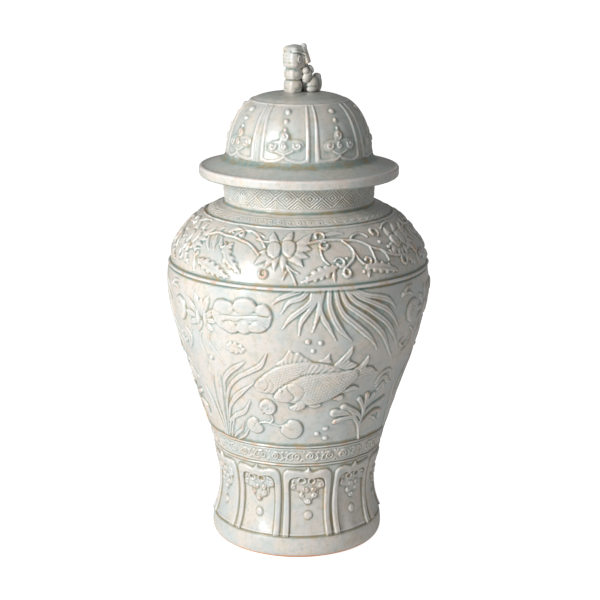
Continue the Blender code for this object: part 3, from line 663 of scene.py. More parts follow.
def carve_lotus(clay, c):
    """The big scalloped leaf, the open flower behind it and a fallen blossom."""
    def at(points):
        return [(c + degrees, mm) for degrees, mm in points]

    for path, half in (
            ([(-47, 300), (-49.4, 285), (-47.4, 268), (-50, 250)], [1, 1.2, 1]),
            ([(-42, 303), (-42.8, 288), (-38.6, 272), (-36.2, 262)], [1, 1.1, 0.8]),
            ([(-54, 300), (-58.4, 286), (-60.4, 270), (-62.6, 262)], [1, 1.3, 1])):
        clay.strand(at(path), half, 1.4)
    # petals of the flower: middle of the foot, tip, half width
    heart = (-45.6, 317)
    for tip, half in (((-49.2, 347.5), 4.4), ((-41, 346), 4.4), ((-45.4, 341), 4.8), ((-55.6, 339), 4.2),
                      ((-36.8, 331), 3.8), ((-57.4, 321), 3.8), ((-36.4, 317), 3.4), ((-54.6, 306), 3.8),
                      ((-39, 304), 3.6), ((-49.2, 299), 3.6)):
        start = (heart[0] + 0.25 * (tip[0] - heart[0]), heart[1] + 0.25 * (tip[1] - heart[1]))
        belly = (heart[0] + 0.66 * (tip[0] - heart[0]), heart[1] + 0.66 * (tip[1] - heart[1]))
        clay.strand(at([start, belly, tip]), [half * 0.7, half, half * 0.9, 0.5], [1.2, 2.5, 2], "leaf")
    for degrees, mm in ((-47.8, 317), (-43.4, 318)):
        clay.strand(at([(degrees, mm - 8), (degrees, mm), (degrees, mm + 9)]), [1.2, 4.4, 1.2], 3.1, "soft")
    clay.pad(at([(-38, 337), (-36.4, 344), (-32, 347), (-28.2, 341), (-26.4, 348), (-22.4, 351.4), (-18.8, 348),
        (-17.8, 340.4), (-14.4, 347), (-11.4, 342), (-10.2, 334), (-10.8, 325), (-12.4, 316.6), (-15.8, 310),
        (-19.8, 309.6), (-23.2, 306.4), (-26.2, 309.2), (-29.4, 304.8), (-32.2, 307), (-34.2, 309), (-36.6, 315),
        (-38.8, 325)]), 2, 2.2, 0.6, how="over", trench=0.7)
    for outline in ([(-37.4, 333), (-36.4, 342), (-32, 345.8), (-27.8, 343.4), (-27, 336), (-29.4, 330.4),
            (-34, 329.4)], [(-18.4, 335), (-17.6, 342.6), (-14.4, 345.4), (-11.6, 340.8), (-11, 333.8),
            (-14, 331.6)], [(-27.4, 338), (-26.2, 346.6), (-22.4, 350.2), (-18.6, 346.6), (-17.4, 339),
            (-19.8, 332.6), (-23.6, 331.4)], [(-32.6, 309), (-33.4, 315.4), (-30.4, 320.4), (-26.6, 318.4),
            (-25.6, 311.4), (-28.4, 306.4)], [(-26.4, 311), (-26.2, 319), (-23.4, 323.4), (-20.4, 320.4),
            (-19.8, 312.6), (-22.8, 308.4)], [(-20.2, 312), (-20.4, 319), (-17.6, 322.6), (-14.2, 320.4),
            (-13, 315.4), (-16.4, 310.8)]):
        clay.pad(at(outline), 2.9, 2.4, 0.4, trench=0.6)
    clay.cut(at([(-34.6, 326.6), (-29, 328.4), (-22, 329.6), (-16, 331), (-11.6, 331)]), 1, 0.9)
    clay.cut(at([(-33.4, 318.6), (-30, 322.6), (-26.6, 322), (-23.4, 326), (-19.4, 324), (-16.4, 325.4),
        (-12.4, 321)]), 0.9, 0.9)
    for k in range(9):
        angle = 2 * math.pi * k / 9
        wide = 3.6 + 0.7 * math.cos(angle)
        clay.bead(c - 29 + wide * math.cos(angle), 286.6 + 5.2 * math.sin(angle), 2.9, 1.9)
    clay.bead(c - 29, 286.6, 6, 2, stretch=1.5)
    clay.cut(at([(-32.4, 286), (-29, 287.4), (-25.8, 288.6)]), 0.8, 0.7)


def carve_pond(clay):
    """The pond scene goes three times round the belly."""
    for turn in range(3):
        c = 120 * turn
        for path, half in REEDS:
            clay.strand([(c + a, b) for a, b in path], half, 2.5, "leaf")
        carve_lotus(clay, c)
        carve_pads(clay, c)
        carve_coral(clay, c)
        carve_fish(clay, c)
        for path, half in WEED:
            full = [half[0] * 1.35] + [h * 1.12 for h in half[1:]]
            clay.strand([(c + a, min(b, 362)) for a, b in path], full, [1.9, 2.9, 2.9, 2.2], "leaf")


# ---------------------------------------------------------------- carving: shoulder


def cloud_leaf(clay, c, spine, half):
    """A curly leaf: round lobes down both sides, each with a hooked groove, and a faint midrib."""
    scale = clay.scale_at(spine[0][1])
    line = smooth_path(spine, 41)
    length = float(np.hypot(np.diff(line[:, 0]) * scale, np.diff(line[:, 1])).sum())
    count = max(2, int(round(length / LEAF_LOBE)))
    for side in (-1, 1):
        for k in range(count):
            t = (k + (0.30 if side < 0 else 0.62)) / count
            i = min(38, int(t * 40))
            dx, dy = (line[i + 1, 0] - line[i, 0]) * scale, line[i + 1, 1] - line[i, 1]
            size = math.hypot(dx, dy)
            nx, ny = -dy / size * side, dx / size * side
            reach = float(np.interp(t, np.linspace(0, 1, len(half)), half))
            tip = (line[i, 0] + (nx * 0.66 + dx / size * 0.30) * reach / scale,
                line[i, 1] + (ny * 0.66 + dy / size * 0.30) * reach)
            root = (line[i, 0] - nx * reach * 0.1 / scale, line[i, 1] - ny * reach * 0.1)
            clay.strand([(c + root[0], root[1]), (c + tip[0], tip[1])], [reach * 0.5, reach * 0.42 + 1],
                LEAF_HEIGHT, "flat")
            clay.cut([(c + root[0], root[1]), (c + tip[0], tip[1])], [0.8, 0.5], [0.5, 0.3])
            clay.curl(c + tip[0], tip[1], reach * 0.30 + 0.9, math.degrees(math.atan2(-ny, -nx)), 0.62 * side,
                      [0.5, 0.8, 0.5], -0.9, "add", "soft", 0.6)
    clay.strand([(c + a, b) for a, b in spine], [h * 0.84 for h in half], LEAF_HEIGHT * 0.96, "flat")
    clay.cut([(c + a, b) for a, b in spine], [0.85] * len(half), 0.6)


def carve_shoulder(clay):
    """Lotus flowers on a winding vine, three times round, between two raised lines."""
    for turn in range(3):
        c = 120 * turn

        def at(points):
            return [(c + degrees, mm) for degrees, mm in points]

        cloud_leaf(clay, c, [(-33.6, 413), (-35.2, 404), (-32.6, 393), (-29, 385), (-25.6, 377.6)],
            (1.6, 5.4, 6, 4, 0.8))
        cloud_leaf(clay, c, [(-49.6, 385), (-45, 382.4), (-40, 379.6), (-35.2, 376), (-30, 371.6)],
            (2.6, 6.6, 6.8, 4.6, 0.8))
        cloud_leaf(clay, c, [(16.6, 388), (12.4, 383.6), (8, 379.4), (1.8, 372.4)], (2.6, 6.6, 5.8, 0.9))
        cloud_leaf(clay, c, [(31.4, 385.6), (36, 384.6), (41.6, 381), (48.4, 374.4)], (2.6, 6.4, 5.4, 0.9))
        cloud_leaf(clay, c, [(-62.4, 391), (-60.4, 384), (-57, 376.6)], (2.4, 4.4, 0.8))
        for path, half in (
                ([(14.6, 430.4), (19, 431.6), (24.8, 430)], (2.2, 3.6, 0.5)),
                ([(-39, 428), (-36.4, 433.4), (-32.4, 433.6)], (1.6, 3, 0.5)),
                ([(-24.2, 431), (-21, 429.4), (-17.8, 426.4)], (1.4, 2.6, 0.4)),
                ([(-45.6, 425), (-45.2, 430), (-43.4, 433)], (1.1, 2, 0.4)),
                ([(-41.6, 418.4), (-40.4, 410.6), (-38.2, 404.6)], (1.2, 2.8, 0.5)),
                ([(-45.4, 420), (-44.6, 411), (-43, 401)], (1.3, 3.4, 0.5)),
                ([(-50.8, 418.6), (-49.4, 409), (-46, 400)], (1, 2.8, 0.5)),
                ([(-53.4, 388), (-52.6, 380), (-51.4, 371)], (1.2, 2.8, 0.5)),
                ([(52.2, 419), (52.4, 416), (53.2, 413)], (1.4, 2.2, 0.5)),
                ([(15.6, 381), (15.4, 376.6), (15.8, 370.6)], (1.2, 1.9, 0.5)),
                ([(31, 384), (31.8, 379.6), (31.8, 373.6)], (2, 3, 0.8))):
            clay.strand(at(path), half, 2.4, "leaf")
        vines = (([(-67, 401), (-62, 406), (-56.5, 413.6), (-50, 420), (-45, 423.8), (-39.4, 422), (-34, 421.2),
            (-29, 418.4), (-25, 415.6), (-21.4, 410), (-18.4, 403)], 1.6),
            ([(-34.4, 422), (-33, 427.4), (-29.4, 432), (-25.2, 432.8), (-21.6, 428), (-18.8, 421),
            (-16.2, 412.6)], 1.5), ([(-21, 423), (-17.6, 419.8), (-13.8, 419.8)], 1.2),
            ([(3.4, 417), (8, 421), (13, 423.6), (18.6, 422.4), (24.4, 421), (29.4, 420), (33.4, 415),
            (37.2, 408), (41.6, 404), (45.4, 396.4), (50.6, 392.4), (58.2, 389.6)], 1.6),
            ([(22.6, 420), (25.6, 412.6), (26.6, 405), (25.2, 396), (22.2, 390), (20.2, 386), (19.4, 380)], 1.45),
            ([(26.8, 404), (28, 396), (30, 389.6)], 1.4), ([(35.6, 411), (36.2, 404), (36.4, 391)], 1.3),
            ([(41.4, 404), (43.4, 397), (44, 388.6)], 1.3), ([(27.2, 421), (29.2, 426.4), (33.2, 428.4),
            (35.6, 426), (37.2, 422.4)], 1.35), ([(10.6, 412), (11, 404), (12, 397), (13.8, 391.4)], 1),
            ([(-6.4, 399), (-4.8, 389), (-2.4, 380), (-0.8, 369.6)], 1),
            ([(-4.6, 391), (-2.4, 386), (0.2, 382.6)], 1), ([(-5, 384), (-6, 378), (-6.4, 374.6)], 0.8),
            ([(50.4, 430), (55, 435), (60, 437.4)], 1.2))
        for path, half in vines:
            clay.strand(at(path), half, 2.4)
        rings = ((18.6, 392.4, 6.2, 150, -0.86, 0.5), (32.4, 393, 5.8, -150, 0.86, 0.5),
            (20.8, 381, 4.8, 100, -0.72, 0.7), (12.6, 416.4, 5, 60, 0.84, 0.8), (10.9, 429, 5.6, -80, 0.80, 0.8),
            (43.6, 427.6, 6.2, -60, 0.78, 0.8), (48.8, 399.2, 5.4, 170, 0.70, 0.7),
            (54.8, 385.6, 6.4, 120, 0.76, 0.75), (-14.9, 380.2, 5.2, 120, 0.80, 0.6),
            (-53, 392.6, 4.8, 80, 0.85, 0.5), (-38.2, 408.6, 3.8, 90, -0.8, 0.6),
            (-30.9, 427, 3.8, 150, -0.8, 0.6), (60.6, 399.6, 4.4, 120, 0.8, 0.6),
            (62.6, 416.6, 4.6, 20, 0.8, 0.6))
        for degrees, mm, radius, start, turns, end in rings:
            clay.bead(c + degrees, mm, radius, -0.9, "add")
            clay.curl(c + degrees, mm, radius, start, turns, [1, 1.5, 2.1, 1.9], 2.6, end=end)
        for degrees, mm, radius in ((43.5, 413.4, 2.6), (47.4, 404.6, 2.6), (51.4, 406.8, 2.2), (59, 404, 2.4),
                (60.2, 408.8, 2.4), (-36.6, 427.4, 1.8), (29.6, 380.6, 2.4), (22.2, 397.4, 1.8)):
            clay.bead(c + degrees, mm, radius, 2.6)
        carve_bloom(clay, c, 1)
        carve_bloom(clay, c + 65, 0.86)


def carve_bloom(clay, c, size):
    """A lotus flower seen from the side: two heart petals over a ruff of broad pointed ones."""
    def at(points):
        return [(c - 7.5 + (degrees + 7.5) * size, 408 + (mm - 408) * size) for degrees, mm in points]

    for path, half in (
            ([(-7, 414), (-5, 426), (-3, 436.6)], 5.2), ([(-10, 411), (-12.6, 422), (-13.6, 433.4)], 6.2),
            ([(-2.4, 411), (2.4, 419.6), (7, 432.4)], 6.4), ([(-12.4, 407), (-15.6, 406.6), (-18.8, 404.4)], 3.8),
            ([(-2.6, 411), (1.6, 412.4), (6.2, 411.2)], 6), ([(-3.6, 405), (0.2, 403.6), (4.8, 401)], 5.4),
            ([(-11.6, 405), (-15.6, 399.4), (-19.4, 390.6)], 5.4), ([(-5.2, 403), (-1, 398.4), (2, 390.4)], 5),
            ([(-10.4, 403), (-12.6, 396), (-14.2, 387.6)], 4.8), ([(-9.4, 402), (-10.4, 394), (-10.4, 384)], 4.2),
            ([(-6.6, 403), (-6.8, 394), (-6.6, 384.4)], 4.4)):
        clay.strand(at(path), [half * s * size for s in (0.8, 1, 0.8, 0.10)], [1.6, 2.4, 2], "petal", "over")
    for x, y, wide, tall in ((-4.9, 411.6, 3.5, 11.4), (-11.5, 408.8, 3.5, 10.8)):
        clay.pad(at([(x - wide, y + 3), (x - wide * 0.8, y + tall * 0.78), (x, y + tall),
            (x + wide * 0.8, y + tall * 0.78), (x + wide, y + 2), (x + wide * 0.78, y - tall * 0.5),
            (x + 0.5, y - tall), (x - wide * 0.72, y - tall * 0.5)]), 2.6, 2, 0.25, how="over", trench=1.2)
        clay.cut(at([(x + 0.3, y - 7), (x, y), (x, y + 6)]), 0.8, 0.35)


def carve_border(clay):
    """A narrow frieze of small hooked scrolls under the neck."""
    for k in range(60):
        c = 6 * k
        clay.curl(c, 450.6, 3.3, 120, -0.95, 0.7, 0.85)
        clay.strand([(c - 2.4, 453.4), (c + 1.6, 454.8), (c + 3.4, 450.6)], [0.5, 0.75, 0.4], 0.8)
        clay.strand([(c + 1.2, 446.8), (c + 3.2, 448), (c + 4.2, 446.6)], 0.55, 0.75)
        clay.bead(c + 3, 453.6, 0.9, 0.7)


def carve_lines(clay):
    """Raised lines turned on the wheel, with the tool's groove beside each."""
    for mm, half, height in ((35.6, 1.3, 0.7), (126.2, 1.1, 1.4), (129.6, 0.8, 0.6), (148.2, 0.8, 0.7),
            (151.6, 1.1, 1.4), (363.8, 1.9, 2), (441.2, 1.5, 1.4), (457.4, 1, 0.5)):
        clay.ring(mm, half, height, "raise")
    for mm, half, depth in ((33.4, 0.9, 0.7), (124.3, 0.9, 0.7), (128.2, 0.8, 0.6), (149.9, 0.9, 0.7),
            (153.6, 0.9, 0.7), (360.6, 1.2, 0.8), (367.2, 1.2, 0.7), (443.9, 1.5, 1)):
        clay.ring(mm, half, -depth, "add", "soft")


def carve_neck(clay, low, high):
    """A fret of nested diamonds round the neck, twenty-one of them."""
    middle, tall = (low + high) / 2 + 0.4, (high - low) / 2 * 0.93
    degrees = np.arange(clay.columns) * clay.turn
    x = (degrees - 8.6) / (360 / 42)
    y = (clay.rows - middle) / tall
    cell = np.maximum(abs((x[None] + y[:, None] + 1) % 2 - 1), abs((x[None] - y[:, None] + 1) % 2 - 1))
    lines = np.zeros(cell.shape)
    for at, half, height in ((1, 0.13, 1.15), (0.68, 0.095, 0.95), (0.39, 0.09, 0.95)):
        lines = np.maximum(lines, height * np.sqrt(np.clip(1 - ((cell - at) / half) ** 2, 0, 1)))
    lines = np.maximum(lines, 1 * np.sqrt(np.clip(1 - (cell / 0.16) ** 2, 0, 1)))
    fade = np.clip((tall * 1.03 - abs(clay.rows - middle)) / 1, 0, 1)[:, None]
    clay.relief += lines * fade
    for mm in (low - 0.8, high + 0.6):
        clay.ring(mm, 0.8, 0.5)


# ---------------------------------------------------------------- carving: lid


def carve_dome(clay):
    """Eight panels between paired ribs, each with a cloud of four scrolls and three pearls."""
    for k in range(8):
        c = -11.6 + 45 * k
        for hand in (-1, 1):
            clay.strand([(c + 18.3 * hand, 10.4), (c + 18.6 * hand, 30), (c + 18.8 * hand, 55), (c + 19 * hand, 78)],
                        [2.5, 2.2, 1.9, 1.7], [1.5, 1.5, 1.4, 1.1])
            clay.strand([(c + 18.3 * hand, 11.4), (c + 13.6 * hand, 8.8), (c + 7 * hand, 9.8), (c + 2.2 * hand, 12.4),
                         (c, 15.6)], [2, 1.9, 1.8, 1.2], 1.3)
        clay.pad([(c + a, b) for a, b in ((0.2, 45.4), (3.8, 41), (4.2, 35.2), (9, 35), (14, 32.4), (14.8, 26.6),
            (11, 21.6), (5.4, 21.4), (0.2, 18.6), (-5.2, 20.4), (-10.2, 19.2), (-13.6, 23), (-13.2, 29.6),
            (-8.6, 33.2), (-4.2, 34.2), (-3.8, 41))], 0.9, 2)
        for degrees, mm, radius, start, turns in ((0.2, 38.8, 5.4, -80, 1.2), (-9.2, 26.4, 5.6, 20, -1.2),
                (10.2, 27.6, 5.5, 160, 1.2), (0.4, 27, 4.7, 90, 1.15)):
            clay.bead(c + degrees, mm, radius + 0.5, 1.4)
            clay.curl(c + degrees, mm, radius * 0.82, start, turns * 0.9, [1.1, 1.5, 1.5, 1.3], 2.7, end=0.14)
        clay.strand([(c - 6.6, 20.6), (c, 17.6), (c + 6.8, 21.2)], 1.2, 1.5)
        clay.bead(c + 0.2, 46.6, 2.2, 1.8)
        clay.bead(c + 0.2, 56.4, 2.9, 2.1)
        clay.bead(c + 0.4, 69, 3.7, 2.3)


# ---------------------------------------------------------------- rings of clay into meshes


def finish_piece(mesh, material, body, replaced, normals=None):
    """The mesh as a finished piece that rides on its body and stands for its CAD nodes."""
    mesh.materials.clear()
    mesh.materials.append(material)
    mesh.shade_smooth()
    if normals is not None:
        mesh.normals_split_custom_set_from_vertices(normals.tolist())
    obj = bpy.data.objects.new(mesh.name, mesh)
    bpy.context.scene.collection.objects.link(obj)
    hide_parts(*replaced)
    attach(obj, body)
    return obj


def turned_piece(name, line, columns, closed, material, body, replaced, carved=None, hollow=0.1,
                 crest=0.0):
    """A piece turned from its (radius, height) line in mm. carved replaces the line's first rows by sculpted ones."""
    line = np.array(line, float)
    count = len(line)
    rows = count + (1 if closed else 0)
    bm = bmesh.new()
    bmesh.ops.create_grid(bm, x_segments=columns, y_segments=rows - 1, size=1.0)
    mesh = bpy.data.meshes.new(name)
    bm.to_mesh(mesh)
    flat = np.empty(len(mesh.vertices) * 3, np.float32)
    mesh.vertices.foreach_get("co", flat)
    flat = flat.reshape(-1, 3)
    column = np.round((flat[:, 0] + 1) / 2 * columns).astype(int) % columns
    row = np.round((flat[:, 1] + 1) / 2 * (rows - 1)).astype(int) % count
    around = column * math.tau / columns
    at = np.stack([line[row, 0] * np.sin(around), -line[row, 0] * np.cos(around), line[row, 1]], 1) * MM
    turn = np.roll(line, -1, 0) - np.roll(line, 1, 0)
    facing = np.stack([turn[row, 1] * np.sin(around), -turn[row, 1] * np.cos(around), -turn[row, 0]], 1)
    facing /= np.linalg.norm(facing, axis=1, keepdims=True) + 1e-9
    hollows, crests = (np.broadcast_to(np.asarray(v, float), count)[row].copy() for v in (hollow, crest))
    if carved is not None:
        place, normal, sunk, raised = carved
        outside = row < len(sunk)
        pick = (row[outside], column[outside])
        at[outside], facing[outside] = place[pick], normal[pick]
        hollows[outside], crests[outside] = sunk[pick], raised[pick]
    mesh.vertices.foreach_set("co", at.astype(np.float32).ravel())
    mesh.attributes.new("facing", "FLOAT_VECTOR", "POINT").data.foreach_set("vector",
        facing.astype(np.float32).ravel())
    for label, data in (("hollow", hollows), ("crest", crests)):
        mesh.attributes.new(label, "FLOAT", "POINT").data.foreach_set("value", data.astype(np.float32))
    bm.clear()
    bm.from_mesh(mesh)
    bmesh.ops.remove_doubles(bm, verts=bm.verts, dist=1e-7)
    bmesh.ops.recalc_face_normals(bm, faces=bm.faces)
    bm.to_mesh(mesh)
    bm.free()
    if carved is not None:
        facing = np.empty(len(mesh.vertices) * 3, np.float32)
        mesh.attributes["facing"].data.foreach_get("vector", facing)
        facing = facing.reshape(-1, 3)
    mesh.attributes.remove(mesh.attributes["facing"])
    return finish_piece(mesh, material, body, replaced, facing if carved is not None and closed else None)


def sculpted(clay, radius, height, out_r, out_z, ground):
    """Places, normals, hollows and crests of a whole sheet laid on its wall."""
    mm_per_column = 2 * math.pi * np.mean(clay.radii) / clay.columns
    mm_per_row = float(np.mean(np.diff(clay.rows)))
    relief = blurred(clay.relief, 0.36 / mm_per_row, 0.36 / mm_per_column)
    near = blurred(relief, 1.2 / mm_per_row, 1.2 / mm_per_column)
    far = blurred(relief, 3.4 / mm_per_row, 3.4 / mm_per_column)
    hollow = np.clip((near - relief) * 1.5, 0, None) + np.clip((far - relief) * 0.35, 0, None)
    crest = np.clip((relief - near) * 1.5, 0, None) + np.clip((relief - far) * 0.22, 0, None)
    around = np.radians(np.arange(clay.columns) * clay.turn)[None]
    depth = relief + ground
    r = (radius[:, None] + out_r[:, None] * depth) * MM
    z = (height[:, None] + out_z[:, None] * depth) * MM
    place = np.stack([r * np.sin(around), -r * np.cos(around), z + 0 * around], -1)
    up = np.gradient(place, axis=0)
    wide = np.pad(place, [(0, 0), (1, 1), (0, 0)], mode="wrap")
    across = wide[:, 2:] - wide[:, :-2]
    normal = np.cross(across, up)
    normal /= np.linalg.norm(normal, axis=-1, keepdims=True) + 1e-12
    return place, normal, hollow, crest


def gentle_ground(rows, columns, size):
    """Slow unevenness of hand-carved ground, in mm."""
    turn = np.radians(np.arange(columns) * 360 / columns)[None]
    up = np.asarray(rows)[:, None]
    rng = np.random.default_rng(11)
    total = np.zeros((len(rows), columns))
    for _ in range(26):
        waves, rate, phase = rng.integers(2, 34), rng.uniform(-0.13, 0.13), rng.uniform(0, 6.28)
        total += np.cos(turn * waves + up * rate + phase) / 26 ** 0.5
    return total * size


def build_wall(glaze):
    """The jar's carved wall as closed rings that share their edges."""
    top_of_wall = WALL_UP[-1]
    bands = (("lappet_ring", 32.8, 125.0, "lower_wall"), ("scroll_ring", 125.0, 154.0, "lower_wall"),
             ("pond_ring_low", 154.0, 224.0, "lower_wall"), ("pond_ring_middle", 224.0, 293.0, "lower_wall"),
             ("pond_ring_high", 293.0, 363.3, "lower_wall"), ("vine_ring", 363.3, 441.0, "shoulder_wall"),
             ("hook_scroll_ring", 441.0, top_of_wall - 31.6, "shoulder_wall"),
             ("diamond_neck_ring", top_of_wall - 31.6, top_of_wall, "neck_collar"))
    rows, spans = [], []
    for name, low, high, node in bands:
        steps = int(math.ceil((high - low) / (STEP * (1.17 if name == "lappet_ring" else 1.0))))
        first = len(rows) - 1 if rows else 0
        rows += list(np.linspace(low, high, steps + 1))[1 if rows else 0:]
        spans.append((name, slice(first, len(rows)), node))
    rows = np.array(rows)
    radius, height, out_r, out_z = wall_at(rows)
    clay = Clay(rows, radius, COLUMNS)
    carve_lappets(clay)
    carve_scroll_band(clay)
    carve_pond(clay)
    carve_shoulder(clay)
    carve_border(clay)
    clay.wander()
    carve_lines(clay)
    carve_neck(clay, top_of_wall - 27.0, top_of_wall - 2.0)
    clay.relief += gentle_ground(rows, COLUMNS, 0.25)
    ground = np.interp(rows, [32, 37, 440, 462, 470], [-0.7, -1.0, -1.0, -0.4, -0.2])[:, None]
    grid = sculpted(clay, radius, height, out_r, out_z, ground)
    neck_foot = float(np.interp(423.0, WALL_LINE[:, 1], WALL_UP))
    for mm, wide, depth in ((34.0, 1.2, 0.7), (124.2, 1.4, 0.45), (128.2, 1.0, 0.5), (150.0, 1.0, 0.5),
            (155.0, 2.6, 0.85), (360.4, 2.2, 0.6), (367.4, 2.6, 0.6), (444.2, 1.8, 1.0), (neck_foot, 1.7, 1.3)):
        grid[2][:] += (depth * np.exp(-((rows - mm) / wide) ** 2))[:, None]
    for name, span, node in spans:
        top, bottom = rows[span.stop - 1], rows[span.start]
        inner = []
        for mm in np.linspace(top, bottom, max(3, int((top - bottom) / 7))):
            r, z, nr, nz = (float(v) for v in wall_at(mm))
            inner.append((r - WALL * nr, z - WALL * nz))
        inner[0], inner[-1] = (inner[0][0], height[span.stop - 1]), (inner[-1][0], height[span.start])
        if name == "hook_scroll_ring":
            inner = [(NECK_RADIUS - WALL, height[span.stop - 1]), (NECK_RADIUS - WALL, 420.5),
                     (NECK_RADIUS - WALL + 2.4, 417.0), (inner[-1][0] - 8.0, 410.0), inner[-1]]
        if name == "diamond_neck_ring":
            inner = [(NECK_RADIUS - 0.5, RIM - 1.0), (NECK_RADIUS - 1.6, RIM - 0.1), (NECK_RADIUS - 3.4, RIM),
                     (NECK_RADIUS - WALL + 1.8, RIM - 0.1), (NECK_RADIUS - WALL + 0.5, RIM - 1.0)]
            inner += [(NECK_RADIUS - WALL, z) for z in np.linspace(RIM - 2.2, height[span.start], 5)]
        part = tuple(sheet[span] for sheet in grid)
        line = [(math.hypot(p[0], p[1]) / MM, p[2] / MM) for p in part[0][:, 0]] + inner
        turned_piece(name, line, COLUMNS, True, glaze, "jar", [node], carved=part)


def rounded(points, radius, count=4):
    """The open line with each inner corner replaced by a small curve."""
    out = [points[0]]
    for before, corner, after in zip(points, points[1:], points[2:]):
        b, c, a = (np.array(p, float) for p in (before, corner, after))
        reach = min(radius, 0.45 * np.linalg.norm(b - c), 0.45 * np.linalg.norm(a - c))
        start = c + (b - c) / (np.linalg.norm(b - c) + 1e-9) * reach
        end = c + (a - c) / (np.linalg.norm(a - c) + 1e-9) * reach
        for t in np.linspace(0, 1, count):
            out.append(tuple((1 - t) ** 2 * start + 2 * t * (1 - t) * c + t * t * end))
    return out + [points[-1]]


def build_foot(glaze):
    """Foot ring, recess, floor and the rounded plain band outside."""
    under = [(0.0, 6.0), (60.0, 6.0), (80.6, 6.0), (83.8, 0.3), (84.6, 0.0)]
    outer = [(96.8, 0.0), (97.6, 0.5)]
    outer += [(98.0 + 8.1 * math.sin(a), 1.2 + 11.3 * (1 - math.cos(a))) for a in np.linspace(0.08, math.pi / 2, 16)]
    outer += [(106.0, 17.0), (105.6, 22.0), (104.9, 26.2), (104.0, 28.2), (103.9, 29.0)]
    inside = [(97.6, 29.0), (97.2, 24.0), (95.0, 19.0), (88.0, 15.2), (60.0, 14.5), (0.0, 14.5)]
    line = rounded(under, 2.0) + outer + rounded(inside, 3.0, 5)
    shade = [0.75 if r > 103.4 and z > 27.4 else 0.08 for r, z in line]
    turned_piece("foot_and_floor", line, 360, False, glaze, "jar", ["foot_and_base"], hollow=shade)


DOME_RADIUS, DOME_BASE, DOME_HEIGHT, DOME_WALL = 88.4, 474.0, 80.0, 6.5
BRIM_RADIUS = 120.2
DOME_TOP_POWER, DOME_SIDE_POWER = 1.9, 3.9


def dome_line(radius, height, count):
    """(radius, height) up a dome whose side stands nearly upright, then turns over to a low crown."""
    rise = np.sin(np.linspace(0, 1, count) * math.pi / 2)
    reach = np.clip(1 - rise ** DOME_TOP_POWER, 0, 1) ** (1 / DOME_SIDE_POWER)
    return np.stack([radius * reach, DOME_BASE + height * rise], 1)


def build_lid(glaze):
    """Carved dome with its lining, and the hat brim in its own ring."""
    fine, up = measured(dome_line(DOME_RADIUS, DOME_HEIGHT, 3000))
    rows = np.arange(0.0, up[-1] - 2.0, STEP * 0.98)
    radius, height = np.interp(rows, up, fine[:, 0]), np.interp(rows, up, fine[:, 1])
    dr, dz = np.gradient(radius), np.gradient(height)
    size = np.hypot(dr, dz)
    clay = Clay(rows, np.maximum(radius, 12), DOME_COLUMNS)
    carve_dome(clay)
    clay.wander()
    for mm, half, rise in ((80.4, 1.6, 0.9), (4.6, 2.4, 0.7)):
        clay.ring(mm, half, rise, "raise")
    clay.relief = blurred(clay.relief, 0.45 / STEP, 0.45 / STEP)
    clay.relief += gentle_ground(rows, DOME_COLUMNS, 0.2) * np.clip((80 - rows) / 14, 0, 1)[:, None]
    place, normal, hollow, crest = sculpted(clay, radius, height, dz / size, -dr / size, -0.8)
    crown = np.clip((rows - 80) / 12, 0, 1)[:, None]
    offset = abs((np.arange(DOME_COLUMNS) * clay.turn + 11.6 + 22.5) % 45.0 - 22.5)[None]
    panel = np.clip((16.5 - offset) / 3, 0, 1) * np.clip(np.minimum(rows - 14, 78 - rows) / 5, 0, 1)[:, None]
    hollow = hollow + 0.42 * crown + 0.2 * panel
    line = [(math.hypot(p[0], p[1]) / MM, p[2] / MM) for p in place[:, 0]] + [(0.0, DOME_BASE + DOME_HEIGHT - 0.8)]
    top = dome_line(DOME_RADIUS - DOME_WALL, DOME_HEIGHT - DOME_WALL, 34)[::-1]
    line += [(0.0, float(top[0, 1]))] + [tuple(p) for p in top[1:]]
    turned_piece("lid_dome", line, DOME_COLUMNS, True, glaze, "lid", ["lid_dome_and_brim"],
                 carved=(place, normal, hollow, crest))

    edge_low, edge_high = SEAT - 2.7, SEAT - 2.7 + 12.2
    opening = NECK_RADIUS - WALL - 3 - 6
    brim = [(95.2, SEAT), (104.0, SEAT - 1.3), (113.0, edge_low + 0.1)]
    brim += [(BRIM_RADIUS - 3.8 + 3.8 * math.cos(a), edge_low + 3.8 + 3.8 * math.sin(a))
             for a in np.radians(np.linspace(-80, 0, 8))]
    brim += [(BRIM_RADIUS - 0.2, edge_low + 6.0), (BRIM_RADIUS, edge_high - 3.6)]
    brim += [(BRIM_RADIUS - 3.0 + 3.0 * math.cos(a), edge_high - 2.6 + 3.0 * math.sin(a))
             for a in np.radians(np.linspace(10, 96, 9))]
    top = smooth_path([(BRIM_RADIUS - 4.6, edge_high - 0.1), (112.6, 466.9), (107.4, 468.9), (102.0, 471.3),
        (97.0, 473.4), (93.0, 475.4), (90.2, 478.0), (88.4, 481.2)], 40)
    brim += [tuple(p) for p in top]
    brim += [(84.6, 479.0), (81.9, 474.0), (80.0, 466.0), (76.0, 459.0), (opening, SEAT)]
    tints = []
    for r, z in brim:
        if r > 115.8:
            tints.append(0.7 * math.exp(-((z - edge_low - 1.0) / 1.4) ** 2))
        # The whole underside of the brim gets an even darker tint, 0.5 on the hollow attribute.
        elif z < 456.9 and r > 92:
            tints.append(0.5)
        else:
            tints.append(0.7 * math.exp(-((r - 91) / 3.4) ** 2) + 0.34)
    glow = [0.75 if r > 116.6 and z > edge_high - 3.4 else 0.0 for r, z in brim]
    turned_piece("hat_brim", brim, 540, True, glaze, "lid", ["lid_dome_and_brim"], hollow=tints, crest=glow)


